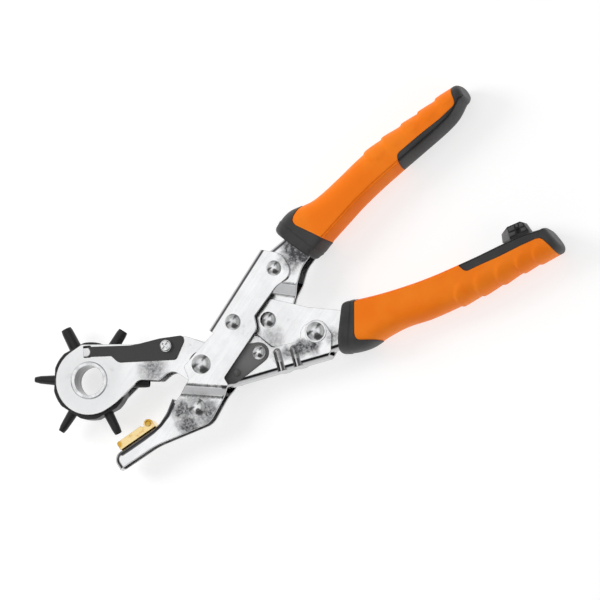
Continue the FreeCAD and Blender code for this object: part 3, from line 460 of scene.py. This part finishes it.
def black_paint_material():
    """Satin black paint with orange peel, dust, a paler patch and painted shade along its edges; the leaf's
    tip is bare steel.
    """
    s = Shader("black_paint", 0.25)
    peel = s.noise(0.7, 2.0, 0.5)
    cloud = s.noise(9.0, 3.0, 0.6)
    dust = s.span(s.noise(0.35, 1.0, 0.5), 0.66, 0.78)
    tip = s.near((-43.6, 36.9, 6.2), 2.0, 0.5)
    # paler paint round (21, -9), fading over 13 mm
    paler_patch = s.near((21.0, -9.0, 6.5), 3.0, 13.0)
    paint = s.mix(cloud, (0.030, 0.030, 0.031), (0.048, 0.047, 0.046))
    paint = s.mix(paler_patch, paint, (0.135, 0.134, 0.132))
    # painted shade along the sharp edges
    paint = s.mix(s.math("MULTIPLY", s.edge(), 0.5), paint, (0.012, 0.012, 0.012))
    paint = s.mix(s.math("MULTIPLY", dust, 0.35), paint, (0.16, 0.16, 0.16))
    s.set(Base_Color=s.mix(tip, paint, (0.8, 0.8, 0.81)))
    s.set(Metallic=tip)
    s.set(Roughness=s.math("SUBTRACT", s.span(cloud, 0.3, 0.7, 0.38, 0.52), s.math("MULTIPLY", tip, 0.2)))
    s.bump(peel, 0.02)
    return s.material


def black_oxide_material():
    """Blackened steel of the wheel and tubes: dark, with a slight sheen and fine turning lines."""
    s = Shader("black_oxide", 0.2)
    cloud = s.noise(4.0, 4.0, 0.6)
    grain = s.noise(0.3, 2.0, 0.6)
    s.set(Base_Color=s.mix(cloud, (0.014, 0.014, 0.015), (0.034, 0.034, 0.035)))
    s.set(Metallic=0.35)
    s.set(Roughness=s.span(cloud, 0.3, 0.7, 0.33, 0.5))
    s.set(Specular_IOR_Level=0.45)
    s.bump(grain, 0.015)
    return s.material


def brass_material():
    """Machined brass with mill lines, a few darker stains, and painted shade on the rolled ends and along
    the sharp edges.
    """
    s = Shader("brass", 0.25)
    lanes = s.noise(0.35, 2.0, 0.5, s.stretched((1.0, 0.2, 1.0)))
    stain = s.span(s.noise(3.5, 4.0, 0.6), 0.55, 0.75)
    # painted shade on the two rolled ends
    curl = s.near((-36.6, -7.0, 4.2), 1.3, 1.6, s.warped(1.5, 1.2))
    left = s.near((-54.9, -8.0, 4.2), 1.2, 1.4)
    ends = s.math("MAXIMUM", curl, left)
    gold = s.mix(stain, (0.93, 0.72, 0.36), (0.80, 0.52, 0.18))
    gold = s.mix(s.math("MULTIPLY", ends, 0.9), gold, (0.62, 0.34, 0.03))
    # painted shade along the sharp edges
    gold = s.mix(s.math("MULTIPLY", s.edge(), 0.6), gold, (0.30, 0.13, 0.02))
    s.set(Metallic=1.0)
    s.set(Base_Color=gold)
    s.set(Roughness=s.span(stain, 0.0, 1.0, 0.18, 0.32))
    s.bump(lanes, 0.012)
    return s.material


def orange_grip_material():
    """Soft moulded orange: fine spark texture, slight shade changes and rubbed high spots."""
    s = Shader("orange_grip")
    cloud = s.noise(22.0, 3.0, 0.55)
    spark = s.noise(0.32, 2.0, 0.6)
    pores = s.spots(0.8)
    tone = s.mix(s.span(cloud, 0.35, 0.65), (0.97, 0.205, 0.006), (1.0, 0.245, 0.012))
    tone = s.mix(s.math("MULTIPLY", s.span(spark, 0.6, 0.75), 0.25), tone, (0.78, 0.12, 0.002))
    s.set(Base_Color=tone)
    s.set(Roughness=s.span(spark, 0.35, 0.65, 0.46, 0.6))
    s.set(Specular_IOR_Level=0.2)
    s.set(Subsurface_Weight=0.05)
    s.bsdf.inputs["Subsurface Radius"].default_value = (0.0012, 0.0005, 0.0002)
    s.bump(pores, 0.018)
    s.bump(spark, 0.03)
    return s.material


def black_grip_material(name, level):
    """Black moulded grip with a leathery spark texture."""
    s = Shader(name)
    cloud = s.noise(12.0, 3.0, 0.6)
    grain = s.noise(0.38, 3.0, 0.65)
    pores = s.spots(0.7)
    low = tuple(level * c for c in (0.8, 0.8, 0.82))
    high = tuple(level * c for c in (1.25, 1.24, 1.22))
    s.set(Base_Color=s.mix(s.span(cloud, 0.3, 0.7), low, high))
    s.set(Roughness=s.span(grain, 0.35, 0.65, 0.44, 0.62))
    s.set(Specular_IOR_Level=0.5)
    s.bump(pores, 0.03)
    s.bump(grain, 0.05)
    return s.material


def catch_material():
    """Black moulded plastic whose raised blocks are paler than the gaps, which are painted dark as shade."""
    s = Shader("black_catch", 0.1)
    cloud = s.noise(2.0, 3.0, 0.6)
    across = s.math("ABSOLUTE", s.vector_math("DOT_PRODUCT", s.mm, (0, 0, 1)))
    block = s.span(across, CATCH_HALF + 0.1, CATCH_HALF + 0.4)
    block_tone = s.mix(cloud, (0.055, 0.055, 0.057), (0.085, 0.085, 0.088))
    # painted shade: the gaps between the raised blocks and the body's faces are dark, the blocks paler
    s.set(Base_Color=s.mix(block, (0.012, 0.012, 0.013), block_tone))
    s.set(Roughness=s.span(cloud, 0.3, 0.7, 0.4, 0.55))
    s.bump(s.noise(0.4, 2.0, 0.6), 0.03)
    return s.material


def grey_face_material():
    """Paler end face of the catch."""
    s = Shader("catch_face")
    cloud = s.noise(1.4, 4.0, 0.6)
    s.set(Base_Color=s.mix(cloud, (0.11, 0.11, 0.115), (0.24, 0.24, 0.25)))
    s.set(Roughness=s.span(cloud, 0.3, 0.7, 0.3, 0.5))
    s.bump(s.noise(0.4, 2.0, 0.6), 0.03)
    return s.material


def floor_material():
    """Pale, softly backlit studio floor with a barely visible paper grain."""
    s = Shader("floor")
    grain = s.noise(1.2, 2.0, 0.6)
    s.set(Base_Color=s.mix(grain, (0.40, 0.40, 0.40), (0.42, 0.42, 0.42)))
    s.set(Emission_Color=(1.0, 1.0, 1.0))
    s.set(Emission_Strength=0.68)
    s.set(Roughness=0.9)
    s.set(Specular_IOR_Level=0.0)
    s.bump(grain, 0.01)
    return s.material


# ---- mesh helpers ------------------------------------------------------------------

def smooth(obj, angle_deg):
    """Smooth shading with sharp edges above an angle."""
    for face in obj.data.polygons:
        face.use_smooth = True
    obj.data.set_sharp_from_angle(angle=math.radians(angle_deg))


def new_object(name, bm):
    """Scene object from a bmesh built in millimetres from the jaw pivot."""
    bmesh.ops.scale(bm, vec=(MM, MM, MM), verts=bm.verts)
    bmesh.ops.translate(bm, vec=PIVOT, verts=bm.verts)
    bmesh.ops.recalc_face_normals(bm, faces=bm.faces)
    mesh = bpy.data.meshes.new(name)
    bm.to_mesh(mesh)
    bm.free()
    obj = bpy.data.objects.new(name, mesh)
    bpy.context.scene.collection.objects.link(obj)
    return obj


def prism(name, points, low, high):
    """Closed prism over an outline in millimetres."""
    bm = bmesh.new()
    floor = [bm.verts.new((x, y, low)) for x, y in points]
    roof = [bm.verts.new((x, y, high)) for x, y in points]
    bm.faces.new(floor)
    bm.faces.new(roof)
    for i in range(len(points)):
        j = (i + 1) % len(points)
        bm.faces.new((floor[i], floor[j], roof[j], roof[i]))
    return new_object(name, bm)


def apply_modifiers(obj):
    """Bake an object's modifiers into its mesh."""
    bpy.context.view_layer.update()
    baked = bpy.data.meshes.new_from_object(
        obj.evaluated_get(bpy.context.evaluated_depsgraph_get()))
    obj.modifiers.clear()
    obj.data = baked


def boolean(obj, tool, operation):
    """Combine an object with a tool object, which is removed."""
    modifier = obj.modifiers.new("combine", "BOOLEAN")
    modifier.operation = operation
    modifier.solver = "EXACT"
    modifier.object = tool
    apply_modifiers(obj)
    bpy.data.objects.remove(tool)


def bevel(obj, width_mm, angle_deg, segments=2):
    """Small rounded bevel on edges sharper than an angle."""
    modifier = obj.modifiers.new("bevel", "BEVEL")
    modifier.width = width_mm * MM
    modifier.segments = segments
    modifier.limit_method = "ANGLE"
    modifier.angle_limit = math.radians(angle_deg)
    apply_modifiers(obj)


def catmull(points, t):
    """Point at t in 0..1 on a smooth curve through points."""
    last = len(points) - 1
    at = min(max(t, 0.0), 1.0) * last
    i = min(int(at), last - 1)
    f = at - i
    p1, p2 = Vector(points[i]), Vector(points[i + 1])
    p0 = Vector(points[i - 1]) if i > 0 else p1 * 2 - p2
    p3 = Vector(points[i + 2]) if i + 2 <= last else p2 * 2 - p1
    return 0.5 * (2 * p1 + (p2 - p0) * f + (2 * p0 - 5 * p1 + 4 * p2 - p3) * f * f
                  + (3 * p1 - p0 - 3 * p2 + p3) * f ** 3)


def ease(x):
    """Smooth step from 0 to 1."""
    x = min(max(x, 0.0), 1.0)
    return x * x * (3 - 2 * x)


# ---- grips -------------------------------------------------------------------------

GRIP_HALF = 9.3          # half thickness of the orange shell
COLLAR_GROW = 0.6        # how far the collar stands proud of the shell
UPPER_CREASE_IN = 3.2    # how far the inner side leans in up to its crease
LOWER_CREASE_IN = 1.7
OUTER_ROUND = 9.0        # reach of the big rounding on the finger side
STATIONS = 190
CAP_RADIUS = 2.6
JOINT_GAP = 0.16
RIM_LONG = 3.0           # raised band at the front of each collar
COLLAR_LOW = 0.25        # how far the rest of the collar stands proud
SHELL_GROOVE = 0.35      # line along the crease of the orange shell
INLAY_GROOVE = 0.6
CUT_REACH = 20.0         # half height of the tools that split the handles
# inner side of a grip's section: shares of the lean and of the half thickness
INNER_CURVE = ((0.0, 0.0), (0.06, 0.16), (0.18, 0.34), (0.34, 0.52), (0.52, 0.68), (0.68, 0.80),
               (0.80, 0.885))
CREASE_END = 1.5         # where the crease runs out, in leans
FLAT_START = 0.993       # share of the half thickness there
FLAT_STEPS = 12
ARC_STEPS = 15
ARC_POWERS = (0.86, 0.80)    # squareness of the big rounding, across and in height
CAP_STEPS = 6
CAP_RINGS = (0.72, 0.4)      # shares at which a cap's filling loops sit
RIM_FADE = 0.7
GRIP_EDGE = 0.35             # rounding of the edges where the pieces of a handle meet
GRIP_EDGE_ANGLE = 50
GRIP_SMOOTH_ANGLE = 40

# matched points (outer, inner) along each handle, in millimetres
UPPER_PAIRS = (
    ((65.2, 34.2), (73.6, 12.2)),
    ((69.8, 36.3), (77.0, 12.2)),
    ((74.8, 37.0), (80.4, 13.2)),
    ((80.5, 35.9), (84.5, 14.3)),
    ((86.0, 35.1), (89.0, 15.4)),
    ((92.7, 35.5), (95.0, 16.8)),
    ((102.4, 36.9), (104.0, 18.9)),
    ((115.0, 39.0), (116.0, 20.9)),
    ((128.0, 40.3), (128.5, 22.4)),
    ((142.0, 40.5), (142.0, 23.8)),
    ((157.0, 40.9), (157.2, 25.5)),
    ((165.5, 41.3), (165.2, 27.4)),
    ((172.4, 41.4), (171.8, 31.0)),
)
LOWER_PAIRS = (
    ((59.4, -33.4), (74.9, -14.9)),
    ((64.5, -36.4), (78.8, -16.1)),
    ((72.0, -38.7), (83.5, -17.9)),
    ((81.0, -39.0), (90.0, -20.3)),
    ((91.0, -40.3), (98.0, -22.9)),
    ((102.5, -43.7), (107.7, -25.7)),
    ((114.0, -46.0), (117.8, -28.1)),
    ((124.5, -47.6), (127.1, -29.9)),
    ((137.0, -49.2), (138.5, -32.0)),
    ((150.0, -50.3), (151.3, -34.0)),
    ((161.0, -51.7), (162.0, -36.0)),
    ((172.2, -53.6), (170.2, -38.6)),
)
UPPER_COLLAR_EDGE = (
    (82.5, 46.0), (80.2, 36.0), (77.2, 34.6), (75.0, 33.2), (73.8, 31.8), (73.5, 30.2), (74.0, 28.4),
    (79.2, 19.9), (82.3, 14.1), (86.0, 6.0), (40.0, 0.0), (40.0, 46.0),
)
LOWER_COLLAR_EDGE = (
    (81.0, -8.0), (78.6, -15.6), (69.6, -29.6), (69.0, -30.9), (68.8, -32.2), (69.3, -33.4), (70.4, -34.3),
    (75.2, -37.4), (78.6, -39.8), (84.0, -47.0), (40.0, -60.0), (40.0, -8.0),
)
UPPER_INLAY_EDGE = (
    (129.2, 12.0), (130.6, 23.3), (132.4, 27.6), (133.2, 28.6), (134.6, 29.1), (147.0, 30.3), (159.2, 31.1),
    (167.6, 32.4), (169.2, 33.2), (169.9, 34.6), (170.8, 39.4), (172.6, 46.0), (190.0, 46.0), (190.0, 12.0),
)
LOWER_INLAY_EDGE = (
    (127.0, -24.0), (128.8, -31.4), (129.8, -35.0), (130.4, -35.8), (131.4, -36.4), (137.5, -37.4),
    (147.9, -39.4), (158.5, -40.9), (166.8, -42.4), (168.6, -43.2), (169.6, -44.6), (170.6, -48.8),
    (170.9, -52.2), (170.6, -60.0), (190.0, -60.0), (190.0, -24.0),
)
# finger bumps: distance along the handle where each starts, and its length
UPPER_BUMPS = ((50.0, 13.0), (60.5, 12.5), (71.5, 12.5), (81.5, 12.5), (92.0, 13.0))
LOWER_BUMPS = ((54.0, 13.0), (64.5, 12.5), (75.5, 13.0), (86.5, 12.0), (95.5, 12.0))
BUMP_HIGH = 0.75
BUMP_REACH = 0.5         # how far over the side a bump reaches, as a share of the width
BUMP_FADE = 0.07
BUMP_STEP = 0.10         # share of a bump's length over which it rises
CATCH_POCKET = ((149.9, -20.0), (167.0, -20.0), (167.0, -38.5), (163.9, -41.1), (157.1, -41.1),
                (149.9, -39.4))
CATCH_POCKET_HALF = 4.5


def section(width, half, crease_in, groove):
    """Half loop (across, height) from the inner silhouette over the creased front to the outer one."""
    dip = groove / half
    lean = min(crease_in, 0.3 * width)
    points = INNER_CURVE + ((0.90, 0.935), (1.0, 0.955 - dip), (1.1, 0.968 - dip), (1.22, 0.985),
                            (CREASE_END, FLAT_START))
    loop = [(lean * a, half * b) for a, b in points]
    start = CREASE_END * lean
    turn = max(width - OUTER_ROUND, start + 0.5)
    for k in range(1, FLAT_STEPS + 1):
        f = k / FLAT_STEPS
        rise = FLAT_START + (1.0 - FLAT_START) * math.sin(math.pi * f / 2)
        loop.append((start + (turn - start) * f, half * rise))
    reach = width - turn
    for k in range(1, ARC_STEPS + 1):
        a = k / ARC_STEPS * math.pi / 2
        across = turn + reach * math.sin(a) ** ARC_POWERS[0]
        loop.append((across, half * math.cos(a) ** ARC_POWERS[1] if k < ARC_STEPS else 0.0))
    return loop


def bump_height(along, share, bumps):
    """Outward rise of the finger bumps at a distance along the handle and a share from the outer edge."""
    high = 0.0
    for start, length in bumps:
        f = (along - start) / length
        if 0.0 < f < 1.0:
            reach = BUMP_REACH * math.sin(math.pi * min(f, 0.97)) ** 0.45
            rise = ease((reach - share) / BUMP_FADE)
            step = ease(f / BUMP_STEP) * (1.0 - 0.95 * ease((f - BUMP_STEP) / (1.0 - BUMP_STEP)))
            high = max(high, BUMP_HIGH * rise * step)
    return high


def handle_body(name, pairs, bumps, crease_in, groove, rim):
    """Closed lofted solid of a handle with creased inner side, rounded finger side and rounded ends."""
    outer = [p[0] for p in pairs]
    inner = [p[1] for p in pairs]
    stations = []
    along = 0.0
    before = None
    for i in range(STATIONS + 1):
        t = i / STATIONS
        o, n = catmull(outer, t), catmull(inner, t)
        middle = (o + n) / 2
        along += (middle - before).length if before is not None else 0.0
        before = middle
        stations.append((o, n, along))
    rows = []
    for end in (0, 1):
        o, n, at = stations[0] if end == 0 else stations[-1]
        across = (o - n).normalized()
        axis = Vector((across.y, -across.x))
        nearby = stations[3] if end == 0 else stations[-4]
        if axis.dot((o + n) / 2 - (nearby[0] + nearby[1]) / 2) < 0:
            axis = -axis
        cap = []
        for k in range(CAP_STEPS + 1):
            a = k / CAP_STEPS * math.pi / 2
            shrink = CAP_RADIUS * (1 - math.cos(a))
            push = axis * (CAP_RADIUS * math.sin(a))
            cap.append((o - across * shrink + push, n + across * shrink + push, at, shrink))
        rows.append(cap)
    rings = [(o, n, at, s) for o, n, at, s in reversed(rows[0])]
    rings += [(o, n, at, 0.0) for o, n, at in stations[1:-1]]
    rings += rows[1]
    bm = bmesh.new()
    marks = []
    loops = []
    for o, n, at, shrink in rings:
        direction = (o - n).normalized()
        grow = COLLAR_LOW + (COLLAR_GROW - COLLAR_LOW) * ease((RIM_LONG - at) / RIM_FADE) if rim else 0.0
        width = (o - n).length + 2 * grow
        origin = n - direction * grow
        half_loop = section(width, GRIP_HALF + grow - shrink, crease_in, groove)
        full = half_loop + [(a, -z) for a, z in reversed(half_loop[1:-1])]
        loop = []
        for a, z in full:
            place = origin + direction * a
            loop.append(bm.verts.new((place.x, place.y, z)))
            marks.append((at, 1.0 - a / width, shrink))
        loops.append(loop)
    count = len(loops[0])
    for first, second in zip(loops, loops[1:]):
        for i in range(count):
            j = (i + 1) % count
            bm.faces.new((first[i], first[j], second[j], second[i]))
    for loop in (loops[0], loops[-1]):
        close_cap(bm, loop)
    bm.normal_update()
    bmesh.ops.recalc_face_normals(bm, faces=bm.faces)
    bm.verts.ensure_lookup_table()
    for vert, (at, share, shrink) in zip(list(bm.verts), marks):
        if not rim and shrink == 0.0:
            vert.co += vert.normal * bump_height(at, share, bumps)
    return new_object(name, bm)


def close_cap(bm, loop):
    """Fill an end with shrinking loops and a fan."""
    centre = sum((v.co for v in loop), Vector()) / len(loop)
    count = len(loop)
    ring = loop
    for share in CAP_RINGS:
        smaller = [bm.verts.new(centre + (v.co - centre) * share) for v in loop]
        for i in range(count):
            j = (i + 1) % count
            bm.faces.new((ring[i], ring[j], smaller[j], smaller[i]))
        ring = smaller
    hub = bm.verts.new(centre)
    for i in range(count):
        bm.faces.new((ring[i], ring[(i + 1) % count], hub))


def offset_edge(points, distance):
    """Outline whose corners are moved out (or in, when negative) by about a distance."""
    area = sum(a[0] * b[1] - b[0] * a[1] for a, b in zip(points, points[1:] + points[:1]))
    side = 1.0 if area > 0 else -1.0
    moved = []
    for i, here in enumerate(points):
        before, after = Vector(points[i - 1]), Vector(points[(i + 1) % len(points)])
        along = (Vector(here) - before).normalized() + (after - Vector(here)).normalized()
        normal = Vector((along.y, -along.x)).normalized() * side
        moved.append(tuple(Vector(here) + normal * distance))
    return moved


def make_handle(prefix, body, pairs, bumps, crease_in, collar_edge, inlay_edge, materials):
    """Shell, collar and inlay of one handle, cut from lofted bodies and given to a CAD body."""
    shell = handle_body(prefix + "_grip_moulded", pairs, bumps, crease_in, SHELL_GROOVE, False)
    boolean(shell, prism("cut", offset_edge(collar_edge, JOINT_GAP), -CUT_REACH, CUT_REACH), "DIFFERENCE")
    boolean(shell, prism("cut", offset_edge(inlay_edge, JOINT_GAP), -CUT_REACH, CUT_REACH), "DIFFERENCE")
    collar = handle_body(prefix + "_grip_collar_moulded", pairs, bumps, crease_in, 0.0, True)
    boolean(collar, prism("cut", collar_edge, -CUT_REACH, CUT_REACH), "INTERSECT")
    inlay = handle_body(prefix + "_grip_inlay_moulded", pairs, bumps, crease_in, INLAY_GROOVE, False)
    boolean(inlay, prism("cut", inlay_edge, -CUT_REACH, CUT_REACH), "INTERSECT")
    if prefix == "lower":
        for piece in (shell, inlay):
            boolean(piece, prism("cut", CATCH_POCKET, -CATCH_POCKET_HALF, CATCH_POCKET_HALF), "DIFFERENCE")
    for piece, node, slot in (
            (shell, "_grip", "orange_grip"),
            (collar, "_grip_collar", "black_grip"),
            (inlay, "_grip_inlay", "black_grip")):
        bevel(piece, GRIP_EDGE, GRIP_EDGE_ANGLE)
        piece.data.materials.clear()
        piece.data.materials.append(materials[slot])
        smooth(piece, GRIP_SMOOTH_ANGLE)
        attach(piece, body)
        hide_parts(prefix + node)


# ---- catch -------------------------------------------------------------------------

CATCH_BASE = (
    (151.0, -33.4), (152.8, -29.7), (157.4, -28.9), (163.9, -30.2), (165.0, -31.4), (165.2, -36.0),
    (163.8, -38.4), (162.6, -40.0), (160.6, -40.7), (158.6, -40.2), (156.4, -38.8),
)
# the same outline at the front and rear faces, where the end towards the tool is cut back
CATCH_FACE = ((155.4, -34.4), (157.0, -29.6)) + CATCH_BASE[2:]
CATCH_HALF = 3.7
CATCH_MIDDLE = 1.0
BLOCK_HALF = 4.2
BLOCKS = (
    ((157.6, -29.7), (160.7, -30.2), (159.9, -32.0), (156.9, -31.4)),
    ((161.2, -30.2), (162.5, -30.4), (162.1, -31.9), (160.9, -31.6)),
    ((163.1, -30.6), (164.6, -31.3), (164.4, -33.0), (162.5, -32.4)),
    ((156.5, -32.0), (159.6, -32.8), (159.0, -34.2), (155.8, -33.6)),
    ((162.6, -33.4), (164.6, -33.9), (164.7, -35.4), (162.1, -34.9)),
)
CATCH_PIN = (160.5, -38.4)
CATCH_BORE_R = 1.2
BORE_SIDES = 32
END_FACE_X = 156.6       # faces short of this that look towards the tool are the paler end face
END_FACE_TILT = -0.35
CATCH_RECESS = ((160.4, -32.2), (162.1, -32.6), (161.5, -34.9), (159.9, -34.5))
RECESS_FLOOR = 2.3
BLOCK_ROOT = 0.5         # how deep the blocks are rooted in the body
CATCH_EDGE = 0.18
CATCH_EDGE_ANGLE = 30
CATCH_SMOOTH_ANGLE = 35


def layered(name, layers):
    """Closed solid through outlines (points, height) that all have the same number of points."""
    bm = bmesh.new()
    loops = [[bm.verts.new((x, y, z)) for x, y in points] for points, z in layers]
    bm.faces.new(loops[0])
    bm.faces.new(loops[-1])
    count = len(loops[0])
    for low, high in zip(loops, loops[1:]):
        for i in range(count):
            j = (i + 1) % count
            bm.faces.new((low[i], low[j], high[j], high[i]))
    return new_object(name, bm)


def make_catch(materials, face):
    """Thumb catch: a body cut back at one end, with moulded blocks and a recess on both faces."""
    body = layered("catch_moulded", (
        (CATCH_FACE, -CATCH_HALF), (CATCH_BASE, -CATCH_MIDDLE),
        (CATCH_BASE, CATCH_MIDDLE), (CATCH_FACE, CATCH_HALF)))
    for side in (1, -1):
        for points in BLOCKS:
            low, high = sorted((side * (CATCH_HALF - BLOCK_ROOT), side * BLOCK_HALF))
            boolean(body, prism("block", points, low, high), "UNION")
        low, high = sorted((side * RECESS_FLOOR, side * (BLOCK_HALF + 1)))
        boolean(body, prism("recess", CATCH_RECESS, low, high), "DIFFERENCE")
    around = [2 * math.pi * k / BORE_SIDES for k in range(BORE_SIDES)]
    bore = [(CATCH_PIN[0] + CATCH_BORE_R * math.cos(a), CATCH_PIN[1] + CATCH_BORE_R * math.sin(a))
            for a in around]
    boolean(body, prism("bore", bore, -BLOCK_HALF - 1, BLOCK_HALF + 1), "DIFFERENCE")
    bevel(body, CATCH_EDGE, CATCH_EDGE_ANGLE)
    body.data.materials.clear()
    body.data.materials.append(materials["black_catch"])
    body.data.materials.append(face)
    for polygon in body.data.polygons:
        if polygon.normal.x < END_FACE_TILT and polygon.center.x < PIVOT.x + END_FACE_X * MM:
            polygon.material_index = 1
    smooth(body, CATCH_SMOOTH_ANGLE)
    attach(body, "catch")
    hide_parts("catch")


# ---- return spring -----------------------------------------------------------------

SPRING_WIRE_R = 0.7
SPRING_COIL_R = 5.1
SPRING_PITCH = 1.7
SPRING_TURNS = 3
SPRING_STEPS = 96        # path points round the coil
SPRING_SIDES = 14
SPRING_UPPER_END = (22.6, 3.4)
SPRING_LOWER_END = (23.9, -6.3)


def tangent_angle(target, side):
    """Direction of the point where a line from a target touches the spring's coil."""
    reach = math.hypot(target[0], target[1])
    return math.atan2(target[1], target[0]) + side * math.acos(SPRING_COIL_R / reach)


def spring_path():
    """Centre line of the spring, from its lower leg to its upper leg, and its height."""
    first = tangent_angle(SPRING_LOWER_END, 1)
    last = tangent_angle(SPRING_UPPER_END, -1) + 2 * math.pi * (SPRING_TURNS + 1)
    high = SPRING_PITCH * (last - first) / (2 * math.pi)
    path = [Vector((*SPRING_LOWER_END, -high / 2))]
    for step in range(SPRING_STEPS + 1):
        share = step / SPRING_STEPS
        angle = first + (last - first) * share
        path.append(Vector((SPRING_COIL_R * math.cos(angle), SPRING_COIL_R * math.sin(angle),
                            high * (share - 0.5))))
    path.append(Vector((*SPRING_UPPER_END, high / 2)))
    return path, high


def make_spring(materials):
    """Torsion spring: each leg runs out to its own tail, and the coil winds between them."""
    path, high = spring_path()
    bm = bmesh.new()
    rings = []
    for i, point in enumerate(path):
        along = (path[min(i + 1, len(path) - 1)] - path[max(i - 1, 0)]).normalized()
        out = along.cross(Vector((0, 0, 1))).normalized()
        up = out.cross(along)
        ring = []
        for k in range(SPRING_SIDES):
            turn = 2 * math.pi * k / SPRING_SIDES
            offset = (out * math.cos(turn) + up * math.sin(turn)) * SPRING_WIRE_R
            ring.append(bm.verts.new(point + offset))
        rings.append(ring)
    for near, far in zip(rings, rings[1:]):
        for k in range(SPRING_SIDES):
            j = (k + 1) % SPRING_SIDES
            bm.faces.new((near[k], near[j], far[j], far[k]))
    bm.faces.new(rings[0])
    bm.faces.new(rings[-1])
    spring = new_object("return_spring_wound", bm)
    smooth(spring, 50)
    spring.data.materials.append(materials["plain_steel"])
    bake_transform(spring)
    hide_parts("return_spring")


# ---- scene -------------------------------------------------------------------------

def dress_cad_nodes(materials):
    """Give every CAD node the material of its slot."""
    for row in frame["record"]["subparts"]:
        node = frame["nodes"][row["node"]]
        node.data.materials.clear()
        node.data.materials.append(materials[row["material_slot"]])


materials = {
    "plated_sheet": plated_material("plated_sheet", (0.93, 0.935, 0.945)),
    "plated_hardware": plated_hardware_material(),
    "plain_steel": plain_steel_material(),
    "black_painted_steel": black_paint_material(),
    "black_oxide_steel": black_oxide_material(),
    "brass": brass_material(),
    "orange_grip": orange_grip_material(),
    "black_grip": black_grip_material("black_grip", 0.036),
    "black_catch": catch_material(),
}
dress_cad_nodes(materials)
make_handle("upper", "upper_handle", UPPER_PAIRS, UPPER_BUMPS, UPPER_CREASE_IN,
            UPPER_COLLAR_EDGE, UPPER_INLAY_EDGE, materials)
make_handle("lower", "lower_handle", LOWER_PAIRS, LOWER_BUMPS, LOWER_CREASE_IN,
            LOWER_COLLAR_EDGE, LOWER_INLAY_EDGE, materials)
make_catch(materials, grey_face_material())
make_spring(materials)

add_world()
add_floor()
for name, place, size, power in LIGHTS:
    add_area_light(name, place, LIGHT_TARGET, size, power)
add_camera()
bpy.context.scene.view_settings.view_transform = "Standard"
